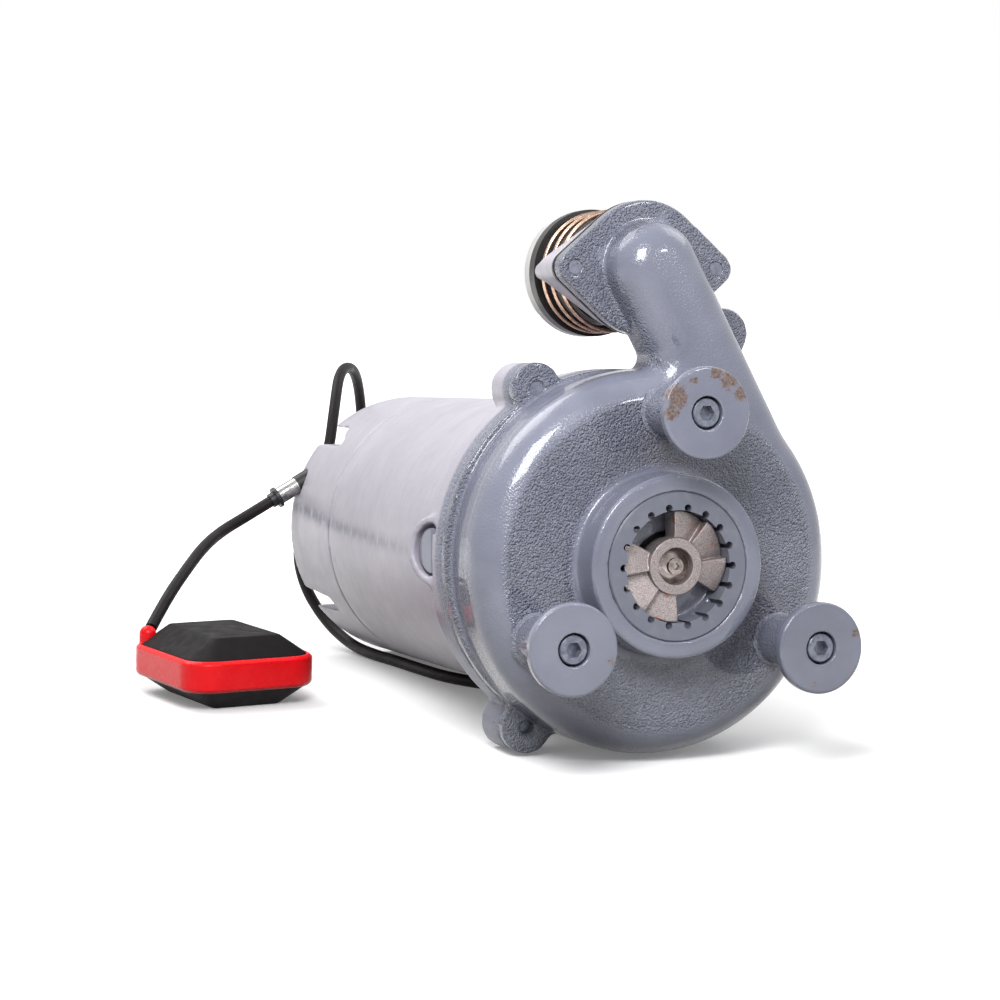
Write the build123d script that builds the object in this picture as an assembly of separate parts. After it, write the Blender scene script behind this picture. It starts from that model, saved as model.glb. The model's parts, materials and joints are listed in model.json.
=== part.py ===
"""Submersible grinder pump lying on its side, with its float switch and its power cord.

While they are built, the pump's own pieces share one frame. The shaft axis is Y and runs from the three
feet to the motor's rear, X is to the right seen from the suction end, and Z is up. The origin there is
the middle of the plane of the feet. Then the pump is tipped onto the floor, where it rests on two bolt
ears and on the rear rim of the motor cover. The row's origin is below the middle of the pump, on the
floor.
"""
import os
from math import asin, atan2, cos, degrees, hypot, pi, radians, sin, sqrt, tan

from build123d import *

# Feet
FOOT_INSET = 24.0
FOOT_CLOCK = 88.3
FOOT_COUNT = 3
FOOT_DISC_D = 51.4
FOOT_DISC_T = 7.0
FOOT_BEVEL = 1.0
POST_D = 28.0
POST_FLARE = 2.5
FOOT_SCREW_D = 10.0
FOOT_HEAD_D = 16.0
FOOT_HEAD_T = 9.6
FOOT_HEX = 8.0
FOOT_HEAD_SUNK = 1.0
FOOT_SCREW_GRIP = 10.0

# Volute casing
Y_BOSS = 31.6
Y_FACE = 54.0
Y_JOINT = 106.0
CASE_R = 110.0
FOOT_CIRCLE_R = CASE_R - FOOT_INSET
CASE_WALL = 10.0
FRONT_WALL = 12.0
SHOULDER = 20.0
JOINT_FLANGE_INSET = 1.5
JOINT_FLANGE_R = CASE_R - JOINT_FLANGE_INSET
JOINT_FLANGE_SPREAD = 6.0
JOINT_FLANGE_Z = 2.0
BOSS_R = 52.0
THROAT_R = 32.0
LIP_CUT_R = 27.0
LIP_SHIFT = 9.0
LIP_T = 4.0
LIP_GAP = 2.0
LIP_ANGLE = 122.0

# Bolt ears of the casing and the motor housing, by (angle, how far the bolt's centre lies outside CASE_R);
# the first is beside the arm
EARS = ((65.4, 34.0), (120.5, 5.0), (236.0, 5.0), (336.5, 7.2))
EAR_R = 15.0
EAR_FLARE = 34.0
EAR_BOW = 4.0
CASE_EAR_T = 8.0
HOUSING_EAR_T = 29.0
EAR_BOLT_D = 8.0
EAR_BOLT_HEX = 13.0
EAR_BOLT_HEAD_T = 5.3
EAR_BOLT_SUNK = 1.0
DEEP_BOLT = 2
DEEP_BOLT_SUNK = 7.0

# Discharge arm, elbow and flange; the arm's outer side lies just inside the case's rim, which sets its
# elbow's height, and the arm ends a little past the point nearest the shaft axis
ELBOW_X = 2.7
ARM_LEAN = 28.0
ARM_R = 26.0
ARM_INSET = 2.745
ARM_RUN_ON = 2.9
lean_sin, lean_cos = sin(radians(ARM_LEAN)), cos(radians(ARM_LEAN))
ELBOW_Z = round((CASE_R - ARM_R - ARM_INSET - ELBOW_X * lean_cos) / lean_sin, 2)
ARM_LENGTH = round(ELBOW_Z * lean_cos - ELBOW_X * lean_sin + ARM_RUN_ON, 1)
ARM_Y_BACK = 97.0
ARM_BACK_ROUND = 10.0
ARM_BORE_R = 14.0
ARM_BORE_Y_TOP = 73.0
ARM_BORE_Y_ROOT = 80.0
CROTCH_R = 7.0
ARM_HEEL_R = 60.0
DISCHARGE_R = 16.0
Y_FLANGE = 82.0
FLANGE_T = 10.0
FLANGE_R = 38.8
FLANGE_HALF_PITCH = 44.0
FLANGE_CORNER_R = 9.8
FLANGE_BOLT_D = 8.0
FLANGE_BOLT_SUNK = 0.8

# Spring coupling behind the discharge flange
GASKET_T = 2.0
CAGE_PLATE_T = 26.0
CAGE_MID_R = 33.0
CAGE_MID_HALF = 42.0
CAGE_MID_CORNER_R = 9.0
STUD_GRIP = 20.0
CAGE_TIP_Y = 150.0
CAGE_TIP_R = 9.0
CAGE_TIP_HALF = 37.0
CAGE_TIP_CORNER_R = 5.0
SPRING_WIRE_D = 2.6
SPRING_TURNS = 3
SPRING_R = 35.0
CAGE_CLEAR = 0.9
SPIGOT_WALL = 4.0
SPIGOT_FLANGE_T = 2.5
SLEEVE_CLEAR = 0.1
SLEEVE_R = 31.6
SLIDE_TRAVEL = 8.0
SEAL_RING_T = 8.0
END_RING_T = 9.0
END_RING_R = 38.0
Y_END = 178.0

# Shredding ring and rotary cutter
RING_R = 42.0
RING_T = 15.0
RING_BORE_R = 31.6
NOTCH_R = 2.1
NOTCH_CIRCLE_R = 33.2
NOTCH_COUNT = 18
CUTTER_CLEAR = 0.4
CUTTER_SUNK = 3.0
CUTTER_T = 14.0
CUTTER_HUB_R = 16.0
CUTTER_TAIL_R = 13.5
CUTTER_RECESS_R = 10.4
CUTTER_RECESS = 6.0
TOOTH_DROP = 6.0
TOOTH_EDGES = (-30.0, 8.0, 52.0, 92.0)
CUP_R = 9.7
CUP_T = 3.0
CUTTER_SCREW_D = 6.0
CUTTER_SCREW_HEAD_R = 4.6
CUTTER_SCREW_HEAD_T = 2.6
CUTTER_SCREW_HEX = 4.0
CUTTER_SCREW_GRIP = 18.0

# Shaft, impeller and shaft seal
NOSE_R = 8.0
HUB_SEAT_R = 10.0
SEAL_SHAFT_R = 11.0
SHAFT_R = 12.5
TAIL_R = 8.5
Y_HUB = 62.0
IMPELLER_HUB_R = 17.0
IMPELLER_R = 82.0
SHROUD_T = 4.0
Y_SHROUD = 88.0
VANE_GAP = 1.0
VANE_COUNT = 6
VANE_T = 4.0
VANE_ARC_R = 44.0
KEY_W = 5.0
KEY_LENGTH = 16.0
KEY_Y = 68.0
SEAL_PLATE_GAP = 4.0
SEAL_PLATE_INSET = 14.1
SEAL_PLATE_R = CASE_R - SEAL_PLATE_INSET
SEAL_PLATE_T = 18.0
SEAL_SEAT_R = 17.0
SEAL_SEAT_T = 6.0
SEAL_LIP_T = 4.0
SEAL_GAP = 0.3
SEAL_HEAD_R = 16.5
SEAL_HEAD_T = 18.0
SEAL_COLLAR_T = 6.0
SEAL_COLLAR_R = 16.0
SEAL_SPRING_D = 2.0
SEAL_SPRING_R = 13.6
SEAL_SPRING_TURNS = 5
RUN_CLEAR = 0.08
PLATE_SCREW_INSET = 11.9
PLATE_SCREW_R = SEAL_PLATE_R - PLATE_SCREW_INSET
PLATE_SCREW_D = 6.0
CASE_SEAL_INSET = 8.0
CASE_SEAL_R = CASE_R - CASE_SEAL_INSET
CASE_SEAL_W = 3.0
CASE_SEAL_T = 2.5

# Motor housing
HOUSING_FLANGE_INSET = 1.0
HOUSING_FLANGE_R = CASE_R - HOUSING_FLANGE_INSET
HOUSING_FLANGE_T = 24.0
HOUSING_R = 91.6
Y_FLARE = 165.0
Y_REAR_JOINT = 395.0
HOUSING_WALL = 7.6
OIL_LEDGE = 25.9
OIL_R = SEAL_PLATE_R - OIL_LEDGE
Y_OIL_BACK = 158.0
Y_BULKHEAD = 186.0
LIP_SEAL_R = 20.0
LIP_SEAL_T = 8.0
STEP_WALL = 5.6
STEP_R = HOUSING_R - STEP_WALL
Y_STEP = 380.0
OIL_PLUG_PROUD = 4.0
OIL_PLUG_X = CASE_R + OIL_PLUG_PROUD
OIL_PLUG_Y = 123.0
OIL_PLUG_Z = 6.0
OIL_PLUG_TURN = 25.0
OIL_PLUG_R = 13.0
OIL_PLUG_T = 9.0
OIL_PLUG_RIDGE = 3.0
OIL_GROOVE_R = 15.5
OIL_BOSS_R = 20.0
OIL_BOSS_LENGTH = 31.0
OIL_HOLE_R = 6.0
OIL_HOLE_LENGTH = 54.0

# Bearings: (bore radius, outer radius, width, first y)
LOWER_BEARING = (12.5, 26.0, 15.0, 170.0)
UPPER_BEARING = (8.5, 20.0, 12.0, 372.0)
RACE_SHARE = 0.3
BALL_COUNT = 9
BALL_GAP = 0.1

# Motor inside
STATOR_R = HOUSING_R - HOUSING_WALL
STATOR_BORE_R = 48.0
STACK_Y0 = 205.0
STACK_Y1 = 325.0
SLOT_COUNT = 24
SLOT_W = 5.0
SLOT_R0 = 52.0
SLOT_R1 = 70.0
END_TURN = 15.0
AIR_GAP = 0.6
CAGE_RING_R = 30.0
CAGE_RING_T = 8.0
BRACKET_FLANGE_T = 8.0
BRACKET_RIM_R = 70.0
BRACKET_HUB_R = 26.0
BRACKET_WEB_T = 6.0
WASHER_T = 2.0
WASHER_CLEAR = 1.5

# Motor cover
COVER_LENGTH = 95.0
COVER_WALL = 9.6
COVER_BACK_T = 10.0
COVER_FILLET = 6.0
REGISTER_WALL = 4.0
COVER_CLOCK = 4.0
HIGH_NOTCH = ((0.0, 58.0), (0.0, 70.0), (34.0, 70.0), (58.0, 58.0))
LOW_NOTCH = ((0.0, -56.0), (0.0, -43.0), (54.0, -47.0), (58.0, -56.0))
NOTCH_X = -42.0
NOTCH_LINER = 6.0
COVER_SCREW_R = 74.0
COVER_SCREW_D = 6.0
COVER_SCREW_HEAD_D = 10.0
COVER_SCREW_HEAD_T = 6.0
COVER_BOSS_R = 9.0
CAPACITOR_R = 19.0
CAPACITOR_LENGTH = 62.0
CAPACITOR_AT = (43.0, 18.0)
TERMINAL_SIZE = (34.0, 16.0, 44.0)
TERMINAL_AT = (-18.0, -24.0)
TERMINAL_WAYS = 5

# Float switch cord gland, on the left face of the cover
FLOAT_GLAND_Y = 479.0
FLOAT_GLAND_Z = 31.0
FLOAT_GLAND_DIP = 30.0
GROMMET_R = 6.5
GROMMET_IN = 9.0
GROMMET_OUT = 3.0
FERRULE_R = 6.0
FERRULE_LENGTH = 15.5
BOOT_R = 7.6
BOOT_RIM_T = 2.5
BOOT_NECK_R = 5.2
BOOT_LENGTH = 6.5
CORD_D = 8.0

# Power cord gland, on the rear face of the cover
POWER_GLAND_X = 2.0
POWER_GLAND_Z = 22.0
GLAND_NUT_ACROSS = 26.0
GLAND_NUT_T = 8.0
GLAND_POCKET_CLEAR = 0.5
GLAND_BOSS_R = 19.0
RELIEF_LENGTH = 38.0
RELIEF_R = 8.5
RELIEF_TIP_R = 5.2

# Float
FLOAT_LENGTH = 104.0
FLOAT_WIDTH = 90.0
FLOAT_HEIGHT = 44.5
FLOAT_TOP_LENGTH = 72.0
FLOAT_TOP_WIDTH = 46.0
FLOAT_TOP_CORNER_R = 3.5
BAND_Z0 = 12.0
BAND_H = 20.0
BAND_CORNER_R = 20.0
BAND_PROUD = 2.0
BAND_WALL = 1.6
SHELL_WALL = 2.6
SOCKET_R = 5.5
SOCKET_X = 41.5
SOCKET_Y = 34.5
SOCKET_ROOT = 24.0
SOCKET_TOP = 37.5
SOCKET_GAP = 0.3
SWITCH_SIZE = (28.0, 16.0, 10.0)
SWITCH_X = -10.0
BALL_R = 7.0
BALL_X = 20.0

# Where the float lies on the floor: its near lower corner and the turn of its long side
FLOAT_NEAR_X = -198.0
FLOAT_NEAR_Y = 43.0
FLOAT_TURN = 100.0

# Routes of the two cords where they lie free, between their fixed ends
FLOAT_LEAD = 22.0
FLOAT_ROUTE = [(-146, 224, 91), (-166, 197, 83.5), (-186, 167, 71), (-205, 140, 57)]
POWER_LEAD = 29.6
POWER_ROUTE = [(3.7, 351.1, 105.7), (6.1, 380.3, 130.7), (5.7, 382.9, 169.8),
               (-7.4, 359.7, 198.3), (-29.8, 325.9, 199), (-42, 299, 171), (-50, 286, 139),
               (-63, 281, 106), (-74, 284, 74), (-69, 284, 44), (-57, 266, 19), (-47, 237, 6),
               (-42, 205, 4), (-35, 170, 4), (-30, 132, 4), (-23, 94, 4), (-3, 58, 4), (31, 40, 4),
               (68, 48, 4), (92, 66, 4), (114, 73.5, 4)]
TAIL_LEAD = 35.0
TAIL_LAST = 24.0

# Put-away coil of the power cord, and its plug
COIL_X = 142.0
COIL_Y = 140.8
COIL_IN_R = 32.5
COIL_STEP = 8.7
COIL_LOOPS = 4
COIL_QUARTERS = 69
PLUG_X = 200.0
PLUG_Y0 = 244.0
PLUG_TURN_Z = 100.0
PLUG_R = 17.0
PLUG_NECK = 24.0
PLUG_BODY = 36.0
PIN_R = 2.4
PIN_LENGTH = 19.0
PIN_PITCH = 19.0


ON_END = (Align.CENTER, Align.CENTER, Align.MIN)


def turned(*points):
    """Solid turned about the shaft axis, from (radius, y) corners given anticlockwise."""
    return revolve(make_face(Polyline(*points, close=True)), Axis((0, 0, 0), (0, -1, 0)))


def ring(r_in, r_out, y0, y1):
    """Plain ring about the shaft axis."""
    return turned((r_in, y0), (r_out, y0), (r_out, y1), (r_in, y1))


def rod(x, z, radius, y0, y1):
    """Round bar parallel to the shaft."""
    return Pos(x, (y0 + y1) / 2, z) * Rot(90, 0, 0) * Cylinder(radius, y1 - y0)


def hex_bar(x, z, across, y0, y1):
    """Hexagonal bar parallel to the shaft, by its size across the flats."""
    outline = RegularPolygon(across / 2, 6, major_radius=False)
    return Pos(x, 0, z) * plate(outline, y0, y1)


def plate(outline, y0, y1):
    """Flat plate between y0 and y1 from an outline drawn in (x, z)."""
    return extrude(Plane((0, y1, 0), x_dir=(1, 0, 0), z_dir=(0, -1, 0)) * outline, amount=y1 - y0, dir=(0, -1, 0))


def block(x0, x1, y0, y1, z0, z1):
    """Box between two corners."""
    return Pos((x0 + x1) / 2, (y0 + y1) / 2, (z0 + z1) / 2) * Box(x1 - x0, y1 - y0, z1 - z0)


def polar(radius, angle):
    """(x, z) at this radius and angle about the shaft, counted from +X towards +Z."""
    return radius * cos(radians(angle)), radius * sin(radians(angle))


def rim(solid, radius, y):
    """Round edges about the shaft axis with this radius and y."""
    return [e for e in solid.edges().filter_by(GeomType.CIRCLE)
            if abs(e.radius - radius) < 0.01 and abs(e.arc_center.Y - y) < 0.01]


def bar_along(start, direction, radius, length):
    """Round bar that starts at a point and runs along a direction."""
    bar = Cylinder(radius, length, align=(Align.CENTER, Align.CENTER, Align.MIN))
    return Plane(origin=start, z_dir=direction) * bar


def hull_outline(centre_r, half_pitch, corner_r):
    """Diamond outline: a middle circle and two end circles joined by their tangents."""
    lean = asin((centre_r - corner_r) / half_pitch)
    up = (sin(lean), cos(lean))
    near = (centre_r * up[0], centre_r * up[1])
    far = (half_pitch + corner_r * up[0], corner_r * up[1])
    corners = [(far[0], -far[1]), far, near, (-near[0], near[1]),
               (-far[0], far[1]), (-far[0], -far[1]), (-near[0], -near[1]), (near[0], -near[1])]
    edges = [ThreePointArc(corners[0], (half_pitch + corner_r, 0), corners[1]),
             Line(corners[1], corners[2]),
             ThreePointArc(corners[2], (0, centre_r), corners[3]),
             Line(corners[3], corners[4]),
             ThreePointArc(corners[4], (-half_pitch - corner_r, 0), corners[5]),
             Line(corners[5], corners[6]),
             ThreePointArc(corners[6], (0, -centre_r), corners[7]),
             Line(corners[7], corners[0])]
    return make_face(edges)


foot_angles = [FOOT_CLOCK + 360 / FOOT_COUNT * i for i in range(FOOT_COUNT)]
foot_centres = [polar(FOOT_CIRCLE_R, a) for a in foot_angles]
ear_centres = [polar(CASE_R + outside, angle) for angle, outside in EARS]
head_floor = FOOT_HEAD_SUNK + FOOT_HEAD_T
y_cavity = Y_FACE + FRONT_WALL
y_ring_back = Y_BOSS + RING_T
y_cutter = Y_BOSS + CUTTER_SUNK
y_recess = y_cutter + CUTTER_RECESS
y_plate = Y_SHROUD + SHROUD_T + SEAL_PLATE_GAP
y_seat = y_plate + SEAL_LIP_T
y_head = y_seat + SEAL_SEAT_T + SEAL_GAP
y_shoulder = Y_OIL_BACK - SEAL_COLLAR_T
y_washer = UPPER_BEARING[3] + UPPER_BEARING[2]
y_cover_end = Y_REAR_JOINT + COVER_LENGTH
oil_plug_place = Pos(-OIL_PLUG_X, OIL_PLUG_Y, OIL_PLUG_Z) * Rot(0, 0, OIL_PLUG_TURN) * Rot(0, 90, 0)
bore_slope = (ARM_BORE_Y_ROOT - ARM_BORE_Y_TOP) / ARM_LENGTH
arm_direction = (lean_sin, bore_slope, -lean_cos)


def with_ears(body, y0, y1):
    """Add the bolt ears between two planes: round tips whose sides sweep into the flange."""
    root_x = sqrt(CASE_R ** 2 - EAR_FLARE ** 2) - CASE_WALL / 2
    for angle, outside in EARS:
        reach = CASE_R + outside
        middle = ((root_x + reach) / 2 - EAR_BOW, (EAR_FLARE + EAR_R) / 2 - EAR_BOW)
        web = make_face([
            ThreePointArc((root_x, -EAR_FLARE), (middle[0], -middle[1]), (reach, -EAR_R)),
            Line((reach, -EAR_R), (reach, EAR_R)),
            ThreePointArc((reach, EAR_R), middle, (root_x, EAR_FLARE)),
            Line((root_x, EAR_FLARE), (root_x, -EAR_FLARE))])
        body = body + plate(Rot(0, 0, angle) * web, y0, y1)
        body = body + rod(*polar(reach, angle), EAR_R, y0, y1)
    return body


def joint_flange():
    """Outline of the flange between the two castings, a little wider than high."""
    return Pos(0, JOINT_FLANGE_Z) * SlotCenterToCenter(2 * JOINT_FLANGE_SPREAD, 2 * JOINT_FLANGE_R)


def case_with_arm():
    """Volute and discharge arm in one: a round case whose shoulder runs on into the arm and its elbow."""
    bar = Pos(0, -ARM_LENGTH / 2) * Rectangle(2 * ARM_R, ARM_LENGTH)
    outline = Circle(CASE_R) + Pos(ELBOW_X, ELBOW_Z) * (Rot(0, 0, ARM_LEAN) * bar + Circle(ARM_R))
    crotches = [v for v in outline.vertices() if abs(hypot(v.X, v.Y) - CASE_R) < 0.01 and v.Y > ARM_R]
    left, right = sorted(crotches, key=lambda v: v.X)
    outline = fillet(left, CROTCH_R)
    right = min(outline.vertices(), key=lambda v: hypot(v.X - right.X, v.Y - right.Y))
    outline = fillet(right, ARM_HEEL_R)
    body = plate(outline, Y_FACE, ARM_Y_BACK)
    body = fillet(body.faces().sort_by(Axis.Y)[-1].edges(), ARM_BACK_ROUND)
    body = fillet(body.faces().sort_by(Axis.Y)[0].edges(), SHOULDER)
    return body + ring(0, CASE_R, ARM_Y_BACK - ARM_BACK_ROUND - 1, Y_JOINT)


def volute_casing():
    """Front casting: suction boss, round volute, bolt ears, discharge arm, elbow and flange."""
    body = case_with_arm() + ring(0, BOSS_R, Y_BOSS, Y_FACE + POST_FLARE)
    body = fillet(rim(body, BOSS_R, Y_FACE), POST_FLARE)
    body = chamfer(rim(body, BOSS_R, Y_BOSS), FOOT_BEVEL)
    body += plate(joint_flange(), Y_JOINT - CASE_EAR_T, Y_JOINT)
    body = with_ears(body, Y_JOINT - CASE_EAR_T, Y_JOINT)
    flange = hull_outline(FLANGE_R, FLANGE_HALF_PITCH, FLANGE_CORNER_R)
    body += Pos(ELBOW_X, 0, ELBOW_Z) * plate(flange, Y_FLANGE, Y_FLANGE + FLANGE_T)
    body -= ring(0, CASE_R - CASE_WALL, y_cavity, Y_JOINT)
    elbow = (ELBOW_X, ARM_BORE_Y_TOP, ELBOW_Z)
    body -= bar_along(elbow, arm_direction, ARM_BORE_R, ARM_LENGTH)
    body -= Pos(*elbow) * Sphere(ARM_BORE_R)
    body -= rod(ELBOW_X, ELBOW_Z, ARM_BORE_R, ARM_BORE_Y_TOP, Y_FLANGE + FLANGE_T)
    body -= rod(ELBOW_X, ELBOW_Z, DISCHARGE_R, Y_FLANGE, Y_FLANGE + FLANGE_T)
    body -= ring(0, RING_R, Y_BOSS, y_ring_back)
    body -= ring(0, THROAT_R, y_ring_back, y_cavity)
    lip = Circle(THROAT_R) - Pos(-LIP_SHIFT, 0) * Circle(LIP_CUT_R)
    y_lip = y_cutter + CUTTER_T + LIP_GAP
    for turn in (0, 180):
        body += plate(Rot(0, 0, LIP_ANGLE + turn) * lip, y_lip, y_lip + LIP_T)
    body -= Pos(ELBOW_X, 0, ELBOW_Z) * plate(flange, Y_FLANGE + FLANGE_T, CAGE_TIP_Y)
    for x, z in foot_centres:
        body -= rod(x, z, FOOT_SCREW_D / 2, Y_FACE, Y_FACE + FOOT_SCREW_GRIP)
    for x, z in ear_centres:
        body -= rod(x, z, EAR_BOLT_D / 2, Y_JOINT - CASE_EAR_T, Y_JOINT)
    for side in (-1, 1):
        x = ELBOW_X + side * FLANGE_HALF_PITCH
        body -= rod(x, ELBOW_Z, FLANGE_BOLT_D / 2, Y_FLANGE, Y_FLANGE + FLANGE_T)
    return body


def foot_pad(x, z):
    """One foot: a post with a round pad, bored and counterbored for its screw."""
    pad = rod(x, z, FOOT_DISC_D / 2, 0, FOOT_DISC_T)
    pad = chamfer(pad.edges().filter_by(GeomType.CIRCLE), FOOT_BEVEL)
    pad += rod(x, z, POST_D / 2, FOOT_DISC_T, Y_FACE)
    flare = Cone(POST_D / 2 + POST_FLARE, POST_D / 2, POST_FLARE)
    pad += Pos(x, Y_FACE - POST_FLARE / 2, z) * Rot(90, 0, 0) * flare
    pad -= rod(x, z, FOOT_HEAD_D / 2 + 1.2, 0, head_floor)
    return pad - rod(x, z, FOOT_SCREW_D / 2 + 0.5, head_floor, Y_FACE)


def foot_screw(x, z):
    """Socket head screw that holds one foot to the casing."""
    screw = rod(x, z, FOOT_HEAD_D / 2, FOOT_HEAD_SUNK, head_floor)
    screw = chamfer(screw.edges().filter_by(GeomType.CIRCLE).sort_by(Axis.Y)[0], 0.6)
    screw += rod(x, z, FOOT_SCREW_D / 2, head_floor, Y_FACE + FOOT_SCREW_GRIP)
    return screw - hex_bar(x, z, FOOT_HEX, FOOT_HEAD_SUNK, FOOT_HEAD_SUNK + FOOT_HEAD_T * 0.55)


def ear_bolt(index, x, z):
    """Hexagon bolt from behind the housing's ear, screwed into the casing's ear."""
    sunk = DEEP_BOLT_SUNK if index == DEEP_BOLT else EAR_BOLT_SUNK
    y_back = Y_JOINT + HOUSING_EAR_T
    bolt = rod(x, z, EAR_BOLT_D / 2, Y_JOINT - CASE_EAR_T + sunk, y_back)
    return bolt + hex_bar(x, z, EAR_BOLT_HEX, y_back, y_back + EAR_BOLT_HEAD_T)


def shredding_ring():
    """Fixed ring with a row of shearing notches round its bore."""
    body = ring(RING_BORE_R, RING_R, Y_BOSS, y_ring_back)
    body = chamfer(rim(body, RING_R, Y_BOSS), 0.8)
    for i in range(NOTCH_COUNT):
        x, z = polar(NOTCH_CIRCLE_R, 360 / NOTCH_COUNT * i)
        body -= rod(x, z, NOTCH_R, Y_BOSS, y_ring_back)
    return body


def sector(r, a0, a1):
    """Pie slice outline between two angles."""
    middle = (a0 + a1) / 2
    p0, p1, p2 = polar(r, a0), polar(r, middle), polar(r, a1)
    return make_face([Line((0, 0), p0), ThreePointArc(p0, p1, p2), Line(p2, (0, 0))])


def rotary_cutter():
    """Cutter: a hub with two fans of slanted teeth and two open gaps between them."""
    r_out = RING_BORE_R - CUTTER_CLEAR
    y_back = y_cutter + CUTTER_T
    body = ring(0, CUTTER_HUB_R, y_cutter, y_back) + ring(0, CUTTER_TAIL_R, y_back, Y_HUB)
    for turn in (0, 180):
        for a0, a1 in zip(TOOTH_EDGES[:-1], TOOTH_EDGES[1:]):
            tooth = plate(sector(r_out, a0 + turn, a1 + turn), y_cutter, y_back)
            middle = (a0 + a1) / 2 + turn
            x, z = polar(r_out * 0.75, middle)
            span = r_out * 0.75 * radians(a1 - a0)
            slope = degrees(atan2(TOOTH_DROP, span))
            waste = Pos(0, -r_out / 2, 0) * Box(4 * r_out, r_out, 4 * r_out)
            at = Pos(x, y_cutter + TOOTH_DROP / 2, z) * Rot(0, 90 - middle, 0) * Rot(0, 0, slope)
            body += tooth - at * waste
    body -= ring(0, CUTTER_RECESS_R, y_cutter - TOOTH_DROP, y_recess)
    return body - ring(0, NOSE_R, y_recess, Y_HUB)


def cutter_washer():
    """Domed cup washer that clamps the cutter on the shaft."""
    y0 = y_recess - CUP_T
    body = turned((0, y0), (CUP_R * 0.45, y0), (CUP_R, y_recess - 0.8), (CUP_R, y_recess), (0, y_recess))
    return body - ring(0, CUTTER_SCREW_D / 2, y0, y_recess)


def cutter_screw():
    """Small socket screw through the cup washer into the shaft's nose."""
    y0 = y_recess - CUP_T
    y_top = y0 - CUTTER_SCREW_HEAD_T
    body = ring(0, CUTTER_SCREW_HEAD_R, y_top, y0) + ring(0, CUTTER_SCREW_D / 2, y0, y0 + CUTTER_SCREW_GRIP)
    return body - hex_bar(0, 0, CUTTER_SCREW_HEX, y_top, y_top + CUTTER_SCREW_HEAD_T * 0.7)


def pump_shaft():
    """Stepped shaft from the cutter to the upper bearing."""
    y_nose = y_recess + 0.6
    y_tail = UPPER_BEARING[3]
    y_tail_end = y_tail + UPPER_BEARING[2]
    body = turned((0, y_nose), (NOSE_R, y_nose), (NOSE_R, Y_HUB), (HUB_SEAT_R, Y_HUB),
                  (HUB_SEAT_R, Y_SHROUD + SHROUD_T), (SEAL_SHAFT_R, Y_SHROUD + SHROUD_T),
                  (SEAL_SHAFT_R, y_shoulder), (SHAFT_R, y_shoulder), (SHAFT_R, y_tail), (TAIL_R, y_tail),
                  (TAIL_R, y_tail_end), (0, y_tail_end))
    body -= ring(0, CUTTER_SCREW_D / 2, y_nose, y_recess - CUP_T + CUTTER_SCREW_GRIP)
    return body - key_block()


def key_block():
    """Parallel key between shaft and impeller."""
    half = KEY_W / 2
    return block(-half, half, KEY_Y, KEY_Y + KEY_LENGTH, HUB_SEAT_R - half, HUB_SEAT_R + half)


def impeller():
    """Open impeller: a back shroud, a hub and curved vanes."""
    y_back = Y_SHROUD + SHROUD_T
    body = ring(0, IMPELLER_HUB_R, Y_HUB, y_back) + ring(0, IMPELLER_R, Y_SHROUD, y_back)
    crescent = Circle(VANE_ARC_R) - Circle(VANE_ARC_R - VANE_T)
    lane = Circle(IMPELLER_R) - Circle(IMPELLER_HUB_R)
    half = Pos(0, IMPELLER_R) * Rectangle(4 * IMPELLER_R, 2 * IMPELLER_R)
    vane = (Pos(VANE_ARC_R - VANE_T / 2, 0) * crescent) & lane & half
    for i in range(VANE_COUNT):
        body += plate(Rot(0, 0, 360 / VANE_COUNT * i) * vane, y_cavity + VANE_GAP, Y_SHROUD)
    return body - ring(0, HUB_SEAT_R, Y_HUB, y_back) - key_block()


def plate_screw_centres():
    """Centres of the screws that hold the seal plate."""
    return [polar(PLATE_SCREW_R, 45 + 90 * i) for i in range(4)]


def seal_plate():
    """Back wall of the volute, which closes the oil chamber and holds the fixed seal face."""
    y1 = y_plate + SEAL_PLATE_T
    bore = SEAL_SHAFT_R + 1.5
    body = turned((bore, y_plate), (SEAL_PLATE_R, y_plate), (SEAL_PLATE_R, y1), (SEAL_SEAT_R, y1),
                  (SEAL_SEAT_R, y_seat), (bore, y_seat))
    for x, z in plate_screw_centres():
        body -= rod(x, z, PLATE_SCREW_D, y_plate, y_plate + PLATE_SCREW_D)
        body -= rod(x, z, PLATE_SCREW_D / 2, y_plate, y1)
    return body


def plate_screw(x, z):
    """Socket screw that holds the seal plate to the motor housing."""
    y_neck = y_plate + PLATE_SCREW_D
    body = rod(x, z, PLATE_SCREW_D * 0.83, y_plate + 0.5, y_neck)
    body += rod(x, z, PLATE_SCREW_D / 2, y_neck, y_plate + SEAL_PLATE_T + PLATE_SCREW_D * 1.5)
    return body - hex_bar(x, z, PLATE_SCREW_D * 0.8, y_plate + 0.5, y_plate + PLATE_SCREW_D * 0.6)


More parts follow.
